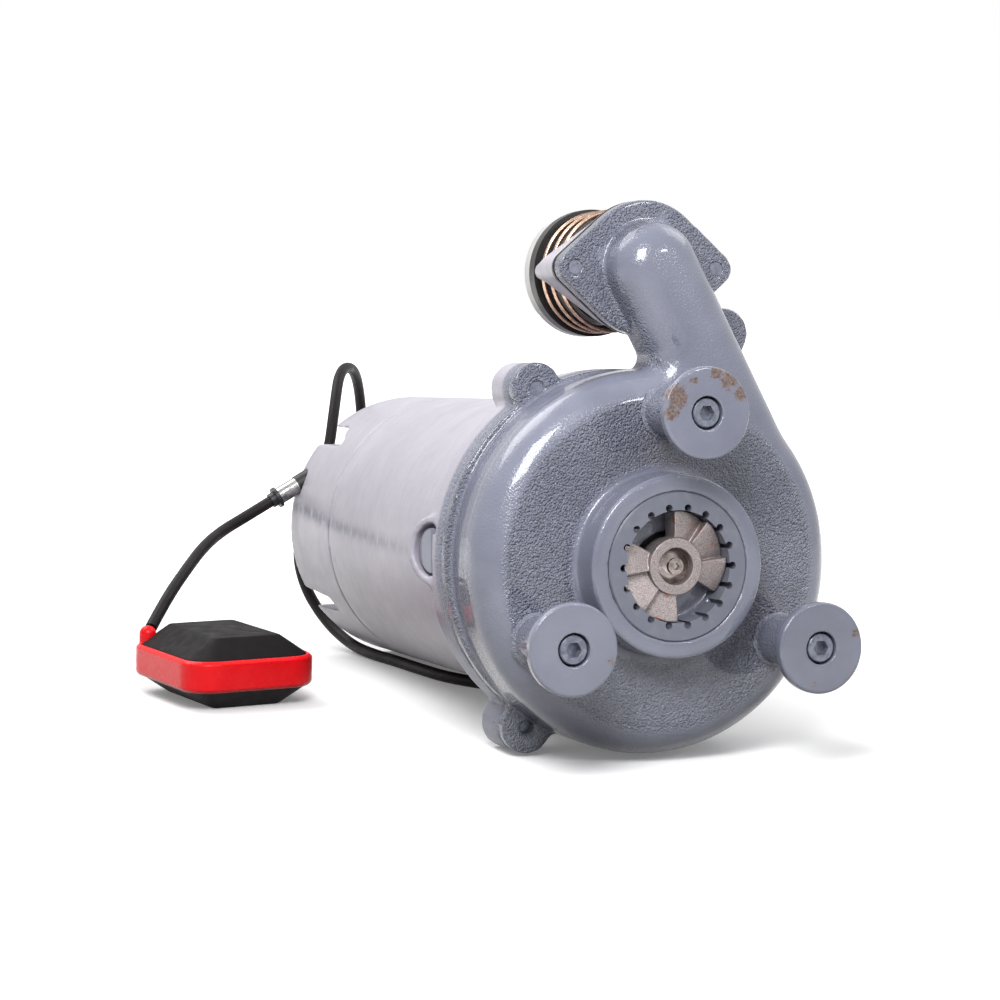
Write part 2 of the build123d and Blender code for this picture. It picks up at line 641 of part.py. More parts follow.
def motor_housing():
    """Long housing with the front flange and ears, the oil chamber, the bulkhead and the stator bore."""
    y_flange_back = Y_JOINT + HOUSING_FLANGE_T
    y_recess_back = y_plate + SEAL_PLATE_T
    y_bearing = LOWER_BEARING[3]
    body = turned((0, Y_JOINT), (HOUSING_FLANGE_R, Y_JOINT), (HOUSING_FLANGE_R, y_flange_back),
                  (HOUSING_R, Y_FLARE), (HOUSING_R, Y_REAR_JOINT), (0, Y_REAR_JOINT))
    body += plate(joint_flange(), Y_JOINT, y_flange_back)
    body = with_ears(body, Y_JOINT, Y_JOINT + HOUSING_EAR_T)
    boss = oil_plug_place * Cylinder(OIL_BOSS_R, OIL_BOSS_LENGTH, align=ON_END)
    body += boss - ring(0, 2 * HOUSING_R, 0, Y_JOINT)
    body -= turned((0, Y_JOINT), (SEAL_PLATE_R, Y_JOINT), (SEAL_PLATE_R, y_recess_back),
                   (OIL_R, y_recess_back), (OIL_R, Y_OIL_BACK), (LIP_SEAL_R, Y_OIL_BACK),
                   (LIP_SEAL_R, y_bearing), (LOWER_BEARING[1], y_bearing), (LOWER_BEARING[1], Y_BULKHEAD),
                   (STATOR_R, Y_BULKHEAD), (STATOR_R, Y_STEP), (STEP_R, Y_STEP), (STEP_R, Y_REAR_JOINT),
                   (0, Y_REAR_JOINT))
    body -= ring(CASE_SEAL_R, CASE_SEAL_R + CASE_SEAL_W, Y_JOINT, Y_JOINT + CASE_SEAL_T)
    for x, z in ear_centres:
        body -= rod(x, z, EAR_BOLT_D / 2, Y_JOINT, Y_JOINT + HOUSING_EAR_T)
    for x, z in plate_screw_centres():
        body -= rod(x, z, PLATE_SCREW_D / 2, y_recess_back, y_recess_back + PLATE_SCREW_D * 1.5)
    groove = Cylinder(OIL_GROOVE_R, OIL_PLUG_T, align=ON_END)
    passage = Cylinder(OIL_HOLE_R, OIL_HOLE_LENGTH, align=ON_END)
    return body - oil_plug_place * groove - oil_plug_place * passage


def oil_plug():
    """Round plug in its pocket, its face two flats that meet in a low upright ridge."""
    roof = make_face(Polyline((-OIL_PLUG_R, OIL_PLUG_RIDGE), (0, 0), (OIL_PLUG_R, OIL_PLUG_RIDGE),
                              (OIL_PLUG_R, OIL_PLUG_T), (-OIL_PLUG_R, OIL_PLUG_T), close=True))
    body = Cylinder(OIL_PLUG_R, OIL_PLUG_T, align=ON_END)
    body &= extrude(Plane.YZ * roof, amount=OIL_PLUG_R, both=True)
    body += Pos(0, 0, OIL_PLUG_T) * Cylinder(OIL_HOLE_R, OIL_PLUG_T, align=ON_END)
    return oil_plug_place * body


def bearing(spec):
    """Deep groove ball bearing as outer ring, inner ring and balls."""
    bore, outer, width, y0 = spec
    y1 = y0 + width
    wall = (outer - bore) * RACE_SHARE
    middle = (bore + outer) / 2
    ball_r = (outer - bore) / 2 - wall * 0.62
    track = Pos(0, (y0 + y1) / 2, 0) * Rot(90, 0, 0) * Torus(middle, ball_r + BALL_GAP)
    balls = [Pos(x, (y0 + y1) / 2, z) * Sphere(ball_r)
             for x, z in [polar(middle, 360 / BALL_COUNT * i) for i in range(BALL_COUNT)]]
    return ring(outer - wall, outer, y0, y1) - track, ring(bore, bore + wall, y0, y1) - track, balls


def slot_bars(y0, y1):
    """The outline of all winding slots, as plates between two planes."""
    outline = Pos((SLOT_R0 + SLOT_R1) / 2, 0) * Rectangle(SLOT_R1 - SLOT_R0, SLOT_W)
    return [plate(Rot(0, 0, 360 / SLOT_COUNT * i) * outline, y0, y1) for i in range(SLOT_COUNT)]


def stator_core():
    """Laminated stack with its winding slots."""
    return ring(STATOR_BORE_R, STATOR_R, STACK_Y0, STACK_Y1) - slot_bars(STACK_Y0, STACK_Y1)


def stator_windings():
    """Copper in the slots, joined by the end turns at both ends."""
    body = ring(SLOT_R0, SLOT_R1, STACK_Y0 - END_TURN, STACK_Y0)
    body += ring(SLOT_R0, SLOT_R1, STACK_Y1, STACK_Y1 + END_TURN)
    return body + slot_bars(STACK_Y0, STACK_Y1)


def bearing_bracket():
    """Disc that carries the upper bearing, clamped between housing and cover."""
    y_flange = Y_STEP + BRACKET_FLANGE_T
    y_bearing = UPPER_BEARING[3]
    y_pocket = y_bearing + UPPER_BEARING[2] + WASHER_T
    y_hub = y_bearing - WASHER_T
    body = turned((UPPER_BEARING[1], y_hub), (BRACKET_HUB_R, y_hub), (BRACKET_HUB_R, Y_STEP),
                  (STEP_R, Y_STEP), (STEP_R, y_flange), (BRACKET_RIM_R, y_flange),
                  (BRACKET_RIM_R, Y_STEP + BRACKET_WEB_T), (BRACKET_HUB_R, Y_STEP + BRACKET_WEB_T),
                  (BRACKET_HUB_R, y_pocket + BRACKET_WEB_T), (0, y_pocket + BRACKET_WEB_T),
                  (0, y_pocket), (UPPER_BEARING[1], y_pocket))
    for x, z in cover_screw_centres():
        body += rod(x, z, COVER_BOSS_R, Y_STEP, y_flange)
        body -= rod(x, z, COVER_SCREW_D / 2, Y_STEP, y_flange)
    return body


def cover_screw_centres():
    """Centres of the four screws that hold the cover."""
    return [polar(COVER_SCREW_R, COVER_CLOCK + 45 + 90 * i) for i in range(4)]


def motor_cover():
    """Deep rear cover with a register, screw bosses and a notch on each side of the cable block."""
    bore = HOUSING_R - COVER_WALL
    y_back = y_cover_end - COVER_BACK_T
    y_register = Y_STEP + BRACKET_FLANGE_T
    body = ring(0, HOUSING_R, Y_REAR_JOINT, y_cover_end)
    body = fillet(rim(body, HOUSING_R, y_cover_end), COVER_FILLET)
    body += ring(STEP_R - REGISTER_WALL, STEP_R, y_register, Y_REAR_JOINT)
    inside = ring(0, bore, y_register, y_back)
    for notch in (HIGH_NOTCH, LOW_NOTCH):
        depth = max(d for d, z in notch) + NOTCH_LINER
        z_low = min(z for d, z in notch) - NOTCH_LINER
        z_high = max(z for d, z in notch) + NOTCH_LINER
        inside -= block(-HOUSING_R, NOTCH_X + NOTCH_LINER, y_cover_end - depth, y_cover_end, z_low, z_high)
    for x, z in cover_screw_centres():
        inside -= rod(x, z, COVER_BOSS_R, y_register, y_back)
    inside -= rod(POWER_GLAND_X, POWER_GLAND_Z, GLAND_BOSS_R, y_back - GLAND_NUT_T, y_back)
    body -= inside
    for notch in (HIGH_NOTCH, LOW_NOTCH):
        outline = make_face(Polyline(*[(y_cover_end - d, z) for d, z in notch], close=True))
        cut = extrude(Plane.YZ * outline, amount=HOUSING_R + 1, dir=(-1, 0, 0))
        body -= cut - block(NOTCH_X, HOUSING_R, Y_REAR_JOINT, y_cover_end, -HOUSING_R, HOUSING_R)
    for x, z in cover_screw_centres():
        body -= rod(x, z, COVER_SCREW_D / 2, y_register, y_cover_end)
        body -= rod(x, z, COVER_SCREW_HEAD_D / 2 + 0.5, y_cover_end - COVER_SCREW_HEAD_T - 1, y_cover_end)
    reach = GROMMET_IN + GROMMET_OUT + FERRULE_LENGTH
    body -= bar_along(gland_point(-GROMMET_IN), gland_direction, GROMMET_R, reach)
    pocket_r = GLAND_NUT_ACROSS / sqrt(3) + GLAND_POCKET_CLEAR
    body -= rod(POWER_GLAND_X, POWER_GLAND_Z, pocket_r, y_cover_end - GLAND_NUT_T, y_cover_end)
    return body - rod(POWER_GLAND_X, POWER_GLAND_Z, RELIEF_R, y_back - GLAND_NUT_T, y_cover_end)


gland_root = (-sqrt(HOUSING_R ** 2 - FLOAT_GLAND_Z ** 2), FLOAT_GLAND_Y, FLOAT_GLAND_Z)
gland_direction = (-cos(radians(FLOAT_GLAND_DIP)), 0, -sin(radians(FLOAT_GLAND_DIP)))


def gland_point(distance):
    """Point on the float cord gland's axis, counted outwards from the cover's skin."""
    return tuple(p + d * distance for p, d in zip(gland_root, gland_direction))


def float_gland_bar(start, length, radius):
    """Round bar on the float cord gland's axis, from a distance outside the cover's skin."""
    return bar_along(gland_point(start), gland_direction, radius, length)


def float_cord_boot():
    """Flanged rubber boot at the outer end of the ferrule."""
    start = GROMMET_OUT + FERRULE_LENGTH
    return (float_gland_bar(start, BOOT_RIM_T, BOOT_R)
            + float_gland_bar(start, BOOT_LENGTH, BOOT_NECK_R))


def power_gland_nut():
    """Hexagonal gland nut, sunk in a round pocket of the cover's rear face."""
    y0 = y_cover_end - GLAND_NUT_T
    nut = hex_bar(POWER_GLAND_X, POWER_GLAND_Z, GLAND_NUT_ACROSS, y0, y_cover_end)
    return nut - rod(POWER_GLAND_X, POWER_GLAND_Z, RELIEF_R, y0, y_cover_end)


def power_strain_relief():
    """Tapered rubber sleeve that leads the power cord out through the cover and the nut."""
    y0 = y_cover_end - COVER_BACK_T - GLAND_NUT_T
    y1 = y_cover_end + RELIEF_LENGTH
    sleeve = turned((0, y0), (RELIEF_R, y0), (RELIEF_R, y_cover_end), (RELIEF_TIP_R, y1), (0, y1))
    return Pos(POWER_GLAND_X, 0, POWER_GLAND_Z) * sleeve


def terminal_block():
    """Block where the cords meet the windings, on the inside of the cover's rear wall."""
    width, depth, height = TERMINAL_SIZE
    x, z = TERMINAL_AT
    y1 = y_cover_end - COVER_BACK_T
    body = block(x - width / 2, x + width / 2, y1 - depth, y1, z - height / 2, z + height / 2)
    pitch = height / TERMINAL_WAYS
    for i in range(TERMINAL_WAYS):
        body -= rod(x, z - height / 2 + pitch * (i + 0.5), pitch * 0.28, y1 - depth, y1 - depth * 0.3)
    return body


def motor_capacitor():
    """Run capacitor, held against the inside of the cover's rear wall."""
    x, z = CAPACITOR_AT
    y1 = y_cover_end - COVER_BACK_T
    can = rod(x, z, CAPACITOR_R, y1 - CAPACITOR_LENGTH, y1)
    return fillet(can.edges().filter_by(GeomType.CIRCLE).sort_by(Axis.Y)[0], 3.0)


def cover_screw(x, z):
    """Long socket screw through the cover into the bearing bracket."""
    y_head_floor = y_cover_end - COVER_SCREW_HEAD_T - 1
    body = rod(x, z, COVER_SCREW_HEAD_D / 2, y_head_floor, y_cover_end - 1)
    body -= hex_bar(x, z, COVER_SCREW_D * 0.83, y_head_floor + COVER_SCREW_HEAD_T * 0.4, y_cover_end - 1)
    return body + rod(x, z, COVER_SCREW_D / 2, Y_STEP, y_head_floor)


def coupling_place(shape):
    """Put a piece that was drawn about the shaft axis onto the discharge axis."""
    return Pos(ELBOW_X, 0, ELBOW_Z) * shape


y_gasket = Y_FLANGE + FLANGE_T
y_cage = y_gasket + GASKET_T
y_window = y_cage + CAGE_PLATE_T
y_end_ring = Y_END - END_RING_T
y_seal_ring = y_end_ring - SEAL_RING_T
sleeve_bore = DISCHARGE_R + SPIGOT_WALL + SLEEVE_CLEAR
cage_bore = SPRING_R + SPRING_WIRE_D / 2 + CAGE_CLEAR


def coupling_gasket():
    """Flat gasket between the discharge flange and the coupling."""
    outline = hull_outline(FLANGE_R, FLANGE_HALF_PITCH, FLANGE_CORNER_R) - Circle(DISCHARGE_R)
    for side in (-1, 1):
        outline -= Pos(side * FLANGE_HALF_PITCH, 0) * Circle(FLANGE_BOLT_D / 2)
    return coupling_place(plate(outline, y_gasket, y_cage))


def coupling_cage():
    """Bolt-on plate with two arms that taper to claws beside the spring."""
    outlines = [hull_outline(FLANGE_R, FLANGE_HALF_PITCH, FLANGE_CORNER_R),
                hull_outline(CAGE_MID_R, CAGE_MID_HALF, CAGE_MID_CORNER_R),
                hull_outline(CAGE_TIP_R, CAGE_TIP_HALF, CAGE_TIP_CORNER_R)]
    faces = [Plane((0, y, 0), x_dir=(1, 0, 0), z_dir=(0, -1, 0)) * outline
             for y, outline in zip((y_cage, y_window, CAGE_TIP_Y), outlines)]
    body = loft(faces[:2]) + loft(faces[1:])
    body -= ring(0, cage_bore, y_window, CAGE_TIP_Y)
    body -= ring(0, sleeve_bore + 1.2, y_cage, y_window)
    body -= ring(0, sleeve_bore + 4.2, y_cage, y_cage + SPIGOT_FLANGE_T)
    for side in (-1, 1):
        body -= rod(side * FLANGE_HALF_PITCH, 0, FLANGE_BOLT_D / 2, y_cage, y_cage + STUD_GRIP)
    return coupling_place(body)


def coupling_stud(side):
    """Headless stud, flush in the discharge flange and screwed into the coupling's arm."""
    x = ELBOW_X + side * FLANGE_HALF_PITCH
    return rod(x, ELBOW_Z, FLANGE_BOLT_D / 2, Y_FLANGE + FLANGE_BOLT_SUNK, y_cage + STUD_GRIP)


def coupling_spigot():
    """Fixed inner pipe that the sleeve slides on."""
    r = DISCHARGE_R + SPIGOT_WALL
    y1 = y_seal_ring - SLIDE_TRAVEL
    return coupling_place(turned((DISCHARGE_R, y_cage), (r + 4, y_cage), (r + 4, y_cage + SPIGOT_FLANGE_T),
                                 (r, y_cage + SPIGOT_FLANGE_T), (r, y1), (DISCHARGE_R, y1)))


def coupling_sleeve():
    """Rubber sleeve on the spigot, with the seal flange at its far end."""
    y0 = y_window + SLIDE_TRAVEL + 1
    return coupling_place(turned((sleeve_bore, y0), (SLEEVE_R, y0), (SLEEVE_R, y_seal_ring),
                                 (END_RING_R, y_seal_ring), (END_RING_R, y_end_ring),
                                 (sleeve_bore, y_end_ring)))


def coupling_ring():
    """Pale end ring that meets the fixed discharge pipe."""
    body = ring(DISCHARGE_R, END_RING_R, y_end_ring, Y_END)
    body = chamfer(rim(body, END_RING_R, Y_END), 1.5)
    return coupling_place(body)


def coil_path(turns, radius, y0, y1):
    """Wire path about the shaft axis in half-turn steps, each step a pair of tangent arcs."""
    steps = turns * 4
    pitch = (y1 - y0) / turns

    def place(i):
        angle = pi / 2 * i
        return Vector(radius * cos(angle), y0 + pitch * i / 4, radius * sin(angle))

    def heading(i):
        angle = pi / 2 * i
        return Vector(-radius * sin(angle), pitch / (2 * pi), radius * cos(angle)).normalized()

    return joined_arcs([place(i) for i in range(steps + 1)], [heading(i) for i in range(steps + 1)])


def joined_arcs(points, headings):
    """Smooth wire through points with given headings, two tangent arcs for each span."""
    edges = []
    for p0, p1, t0, t1 in zip(points[:-1], points[1:], headings[:-1], headings[1:]):
        v = p1 - p0
        b = v.dot(t0 + t1)
        a = 2 * (1 - t0.dot(t1))
        d = (-b + sqrt(b * b + a * v.dot(v))) / a
        q0, q1 = p0 + t0 * d, p1 - t1 * d
        joint = (q0 + q1) * 0.5
        edges.append(TangentArc(p0, joint, tangent=t0))
        edges.append(TangentArc(joint, p1, tangent=(q1 - q0).normalized()))
    return Wire(edges)


def seal_spring():
    """Coil spring that presses the seal's turning head on its seat."""
    y0 = y_head + SEAL_HEAD_T + SEAL_SPRING_D / 2
    y1 = y_shoulder - SEAL_COLLAR_T - SEAL_SPRING_D / 2
    path = coil_path(SEAL_SPRING_TURNS, SEAL_SPRING_R, y0, y1)
    return sweep(Plane(origin=path @ 0, z_dir=path % 0) * Circle(SEAL_SPRING_D / 2), path=path)


def coupling_spring():
    """Open coil between the coupling plate and the sleeve's flange."""
    gap = SPRING_WIRE_D / 2
    path = coil_path(SPRING_TURNS, SPRING_R, y_window + gap, y_seal_ring - gap)
    section = Plane(origin=path @ 0, z_dir=path % 0) * Circle(SPRING_WIRE_D / 2)
    return coupling_place(sweep(section, path=path))


float_place = (Pos(FLOAT_NEAR_X, FLOAT_NEAR_Y, 0) * Rot(0, 0, FLOAT_TURN)
               * Pos(FLOAT_TOP_LENGTH / 2, -FLOAT_TOP_WIDTH / 2, 0))
z_float_middle = BAND_Z0 + BAND_H / 2
band_inset = BAND_PROUD + BAND_WALL


def band_outline(inset):
    """Rounded rectangle of the float's band in plan, drawn in by an inset."""
    return RectangleRounded(FLOAT_LENGTH - 2 * inset, FLOAT_WIDTH - 2 * inset, BAND_CORNER_R - inset)


def float_shell(z_edge, z_tip):
    """Half shell of the float: straight inside the band, then a low pyramid with a flat end."""
    inward = SHELL_WALL if z_tip > z_edge else -SHELL_WALL

    def solid(wall, z_to):
        wide = band_outline(band_inset + wall)
        slim = RectangleRounded(FLOAT_TOP_LENGTH - 2 * wall, FLOAT_TOP_WIDTH - 2 * wall, FLOAT_TOP_CORNER_R)
        rim_part = extrude(Plane.XY.offset(min(z_float_middle, z_edge)) * wide,
                           amount=abs(z_edge - z_float_middle))
        ends = [Plane.XY.offset(z_edge) * wide, Plane.XY.offset(z_to) * slim]
        return rim_part + loft(ends if z_to > z_edge else ends[::-1])

    shell = solid(0, z_tip) - solid(SHELL_WALL, z_tip - inward)
    clear = Cylinder(SOCKET_R + SOCKET_GAP, FLOAT_HEIGHT, align=ON_END)
    return shell - Pos(SOCKET_X, SOCKET_Y, SOCKET_ROOT - SOCKET_GAP) * clear


def float_band():
    """Bulging band round the float's middle, in one piece with the socket of its cord."""
    body = Pos(0, 0, BAND_Z0) * extrude(band_outline(0), amount=BAND_H)
    body = chamfer(body.edges().group_by(Axis.Z)[0] + body.edges().group_by(Axis.Z)[-1], BAND_PROUD)
    body -= Pos(0, 0, BAND_Z0) * extrude(band_outline(band_inset), amount=BAND_H)
    body += Pos(SOCKET_X, SOCKET_Y, SOCKET_ROOT) * Cylinder(SOCKET_R, SOCKET_TOP - SOCKET_ROOT, align=ON_END)
    return body + Pos(SOCKET_X, SOCKET_Y, SOCKET_TOP) * Sphere(SOCKET_R)


def float_switch():
    """Switch in the float, standing on the floor of the lower shell."""
    length, width, height = SWITCH_SIZE
    return Pos(SWITCH_X, 0, SHELL_WALL) * Box(length, width, height, align=ON_END)


def float_ball():
    """Steel ball that rolls in the float and works the switch."""
    return Pos(BALL_X, 0, SHELL_WALL + BALL_R) * Sphere(BALL_R)


def cord_tube(name, points):
    """Tube along straight runs joined by tangent arcs, each as large as its two runs allow."""
    corners = [Vector(*p) for p in points]
    runs = [b - a for a, b in zip(corners[:-1], corners[1:])]
    radii = []
    for before, after in zip(runs[:-1], runs[1:]):
        half_turn = radians(before.get_angle(after) / 2)
        radii.append(0.45 * min(before.length, after.length) / tan(half_turn))
    path = FilletPolyline(*corners, radius=radii)
    section = Plane(origin=corners[0], z_dir=runs[0]) * Circle(CORD_D / 2)
    tube = sweep(section, path=path)
    expected = pi * CORD_D ** 2 / 4 * path.length
    print(name, "length", round(path.length, 1), "radii", [round(r) for r in radii],
          "volume ratio", round(tube.volume / expected, 5))
    return tube


coil_out_r = COIL_IN_R + COIL_LOOPS * COIL_STEP
layer_quarters = 4 * COIL_LOOPS + 2


def coil_point(quarters):
    """Point of the coil's centre line, counted in quarter turns from its start."""
    layer = min(int(quarters // layer_quarters), COIL_QUARTERS // layer_quarters)
    u = quarters - layer * layer_quarters
    inward = layer % 2 == 0
    height = CORD_D / 2 + layer * COIL_STEP
    if u <= 4 * COIL_LOOPS:
        travel = COIL_STEP * u / 4
        radius = coil_out_r - travel if inward else COIL_IN_R + travel
    else:
        climb = (u - 4 * COIL_LOOPS) / 2
        dip = COIL_STEP / 2 * climb * (1 - climb)
        radius = COIL_IN_R - dip if inward else coil_out_r + dip
        height += COIL_STEP * climb
    angle = pi / 2 * (quarters - 1)
    return Vector(COIL_X + radius * cos(angle), COIL_Y + radius * sin(angle), height)


def coil_heading(quarters):
    """Direction of the coil's centre line there."""
    step = 0.01
    return (coil_point(quarters + step) - coil_point(quarters - step)).normalized()


def power_cord_coil():
    """Put-away coil: four flat spirals on each other, wound in, out, in and out again."""
    points = [coil_point(q) for q in range(COIL_QUARTERS + 1)]
    headings = [Vector(1, 0, 0)] + [coil_heading(q) for q in range(1, COIL_QUARTERS + 1)]
    start = points[0] - headings[0] * CORD_D
    end = points[-1] + headings[-1] * CORD_D
    turns = joined_arcs(points, headings)
    path = Wire([Line(start, points[0]).edge(), *turns.edges(), Line(points[-1], end).edge()])
    section = Plane(origin=start, z_dir=headings[0]) * Circle(CORD_D / 2)
    tube = sweep(section, path=path)
    expected = pi * CORD_D ** 2 / 4 * path.length
    print("power_cord_coil length", round(path.length, 1), "volume ratio", round(tube.volume / expected, 5),
          "least gap", round(least_gap(path), 2))
    return tube


def least_gap(path):
    """Least gap of a cord to itself, measured between points that are over half a turn apart."""
    count = int(path.length / 5)
    spots = [path @ (i / count) for i in range(count + 1)]
    apart = int(pi * COIL_IN_R / 5)
    nearest = min((a - b).length for i, a in enumerate(spots) for b in spots[i + apart:])
    return nearest - CORD_D


def plug_axis_point(distance):
    """Point on the plug's axis, counted from where the cord enters it."""
    turn = radians(PLUG_TURN_Z)
    return PLUG_X + distance * cos(turn), PLUG_Y0 + distance * sin(turn), PLUG_R


plug_place = Pos(PLUG_X, PLUG_Y0, PLUG_R) * Rot(0, 0, PLUG_TURN_Z) * Rot(0, 90, 0)


def power_plug():
    """Moulded mains plug with a tapered neck, lying on its side."""
    outline = [(0, 0), (RELIEF_TIP_R, 0), (PLUG_R * 0.55, PLUG_NECK), (PLUG_R, PLUG_NECK + PLUG_R * 0.4),
               (PLUG_R, PLUG_NECK + PLUG_BODY), (0, PLUG_NECK + PLUG_BODY)]
    body = revolve(Plane.XZ * make_face(Polyline(*outline, close=True)), Axis.Z)
    return plug_place * body


def plug_pin(side):
    """Round plug pin with a rounded tip."""
    pin = Cylinder(PIN_R, PIN_LENGTH, align=ON_END)
    pin = fillet(pin.edges().filter_by(GeomType.CIRCLE).sort_by(Axis.Z)[-1], PIN_R * 0.6)
    return plug_place * Pos(0, side * PIN_PITCH / 2, PLUG_NECK + PLUG_BODY) * pin


pump_nodes = {
    "volute_casing": [volute_casing()],
    "foot_pad_top": [foot_pad(*foot_centres[0])],
    "foot_pad_left": [foot_pad(*foot_centres[1])],
    "foot_pad_right": [foot_pad(*foot_centres[2])],
    "foot_screws": [foot_screw(x, z) for x, z in foot_centres],
    "casing_bolts": [ear_bolt(i, x, z) for i, (x, z) in enumerate(ear_centres)],
    "casing_seal": [ring(CASE_SEAL_R, CASE_SEAL_R + CASE_SEAL_W, Y_JOINT, Y_JOINT + CASE_SEAL_T)],
    "shredding_ring": [shredding_ring()],
    "rotary_cutter": [rotary_cutter()],
    "cutter_washer": [cutter_washer()],
    "cutter_screw": [cutter_screw()],
    "pump_shaft": [pump_shaft()],
    "impeller": [impeller()],
    "impeller_key": [key_block()],
    "seal_plate": [seal_plate()],
    "seal_plate_screws": [plate_screw(x, z) for x, z in plate_screw_centres()],
    "seal_seat": [ring(SEAL_SHAFT_R + 0.6, SEAL_SEAT_R, y_seat, y_seat + SEAL_SEAT_T)],
    "seal_head": [ring(SEAL_SHAFT_R, SEAL_HEAD_R, y_head, y_head + SEAL_HEAD_T)],
    "seal_spring": [seal_spring()],
    "seal_collar": [ring(SEAL_SHAFT_R, SEAL_COLLAR_R, y_shoulder - SEAL_COLLAR_T, y_shoulder)],
    "oil_lip_seal": [ring(SHAFT_R + RUN_CLEAR, LIP_SEAL_R, Y_OIL_BACK, Y_OIL_BACK + LIP_SEAL_T)],
    "motor_housing": [motor_housing()],
    "oil_plug": [oil_plug()],
    "stator_core": [stator_core()],
    "stator_windings": [stator_windings()],
    "rotor_core": [ring(SHAFT_R, STATOR_BORE_R - AIR_GAP, STACK_Y0, STACK_Y1)],
    "rotor_end_rings": [ring(CAGE_RING_R, STATOR_BORE_R - 2, STACK_Y0 - CAGE_RING_T, STACK_Y0),
                        ring(CAGE_RING_R, STATOR_BORE_R - 2, STACK_Y1, STACK_Y1 + CAGE_RING_T)],
    "bearing_bracket": [bearing_bracket()],
    "bearing_washer": [ring(TAIL_R + WASHER_CLEAR, UPPER_BEARING[1] - WASHER_CLEAR, y_washer,
                            y_washer + WASHER_T)],
    "terminal_block": [terminal_block()],
    "motor_capacitor": [motor_capacitor()],
    "float_grommet": [float_gland_bar(-GROMMET_IN, GROMMET_IN + GROMMET_OUT, GROMMET_R)],
    "float_ferrule": [float_gland_bar(GROMMET_OUT, FERRULE_LENGTH, FERRULE_R)],
    "power_gland_nut": [power_gland_nut()],
    "motor_cover": [motor_cover()],
    "cover_screws": [cover_screw(x, z) for x, z in cover_screw_centres()],
    "coupling_gasket": [coupling_gasket()],
    "coupling_cage": [coupling_cage()],
    "coupling_studs": [coupling_stud(-1), coupling_stud(1)],
    "coupling_spigot": [coupling_spigot()],
    "coupling_sleeve": [coupling_sleeve()],
    "coupling_ring": [coupling_ring()],
    "coupling_spring": [coupling_spring()],
}
bearings = [bearing(LOWER_BEARING), bearing(UPPER_BEARING)]
pump_nodes["bearing_outer_rings"] = [outer_ring for outer_ring, inner_ring, balls in bearings]
pump_nodes["bearing_inner_rings"] = [inner_ring for outer_ring, inner_ring, balls in bearings]
pump_nodes["bearing_balls"] = [ball for outer_ring, inner_ring, balls in bearings for ball in balls]

float_nodes = {
    "float_band": [float_place * float_band()],
    "float_shell_top": [float_place * float_shell(BAND_Z0 + BAND_H, FLOAT_HEIGHT)],
    "float_shell_bottom": [float_place * float_shell(BAND_Z0, 0)],
    "float_switch": [float_place * float_switch()],
    "float_ball": [float_place * float_ball()],
}


def write(name, solids):
    """Write one node as a STEP file."""
    shapes = []
    for solid in solids:
        shapes += list(solid.solids())
    shape = shapes[0] if len(shapes) == 1 else Compound(children=shapes)
    shape.label = name
    export_step(shape, "parts/" + name + ".step")


os.makedirs("parts", exist_ok=True)
ear_low_z = min(z for x, z in ear_centres) - EAR_R
tilt = degrees(atan2(-ear_low_z - HOUSING_R, y_cover_end - COVER_FILLET - Y_JOINT - HOUSING_EAR_T))
tip = Rot(-tilt, 0, 0)
pump_box = Compound(children=[tip * s for solids in pump_nodes.values() for s in solids]).bounding_box()
seat = Pos(-(pump_box.min.X + pump_box.max.X) / 2, -(pump_box.min.Y + pump_box.max.Y) / 2, -pump_box.min.Z)
place = seat * tip
print("tilt", round(tilt, 3), "seat", seat.position)


def placed(x, y, z):
    """Where a point of the pump's own frame lies in the row's frame."""
    return (place * Pos(x, y, z)).position


boot_reach = GROMMET_OUT + FERRULE_LENGTH + BOOT_LENGTH
relief_tip = placed(POWER_GLAND_X, y_cover_end + RELIEF_LENGTH, POWER_GLAND_Z)
power_lead = placed(POWER_GLAND_X, y_cover_end + RELIEF_LENGTH + POWER_LEAD, POWER_GLAND_Z)
boot_end = placed(*gland_point(boot_reach))
float_lead = placed(*gland_point(boot_reach + FLOAT_LEAD))
socket = float_place * Pos(SOCKET_X, SOCKET_Y, SOCKET_TOP)
last_run = (Vector(*FLOAT_ROUTE[-1]) - socket.position).normalized()
float_end = socket.position + last_run * (SOCKET_R + SOCKET_GAP)
coil_start = coil_point(0) - Vector(CORD_D, 0, 0)
coil_end = coil_point(COIL_QUARTERS) + coil_heading(COIL_QUARTERS) * CORD_D
tail_lead = coil_point(COIL_QUARTERS) + coil_heading(COIL_QUARTERS) * (CORD_D + TAIL_LEAD)
print("relief tip", relief_tip, "boot end", boot_end, "socket", socket.position)
print("float cord end", float_end, "coil start", coil_start, "coil end", coil_end)
cord_nodes = {
    "power_strain_relief": [place * power_strain_relief()],
    "float_cord_boot": [place * float_cord_boot()],
    "power_cord": [cord_tube("power_cord", [relief_tip, power_lead, *POWER_ROUTE, coil_start])],
    "power_cord_coil": [power_cord_coil()],
    "power_cord_tail": [cord_tube("power_cord_tail", [coil_end, tail_lead, plug_axis_point(-TAIL_LAST),
                                                     plug_axis_point(0)])],
    "power_plug": [power_plug()],
    "plug_pins": [plug_pin(-1), plug_pin(1)],
    "float_cord": [cord_tube("float_cord", [boot_end, float_lead, *FLOAT_ROUTE, float_end])],
}

for name, solids in pump_nodes.items():
    write(name, [place * s for s in solids])
for name, solids in {**float_nodes, **cord_nodes}.items():
    write(name, solids)
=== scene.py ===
"""Looks of the submersible grinder pump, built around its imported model. Metres, in the row's frame."""
import json
import math

import bmesh
import bpy
import numpy as np
from mathutils import Matrix, Vector


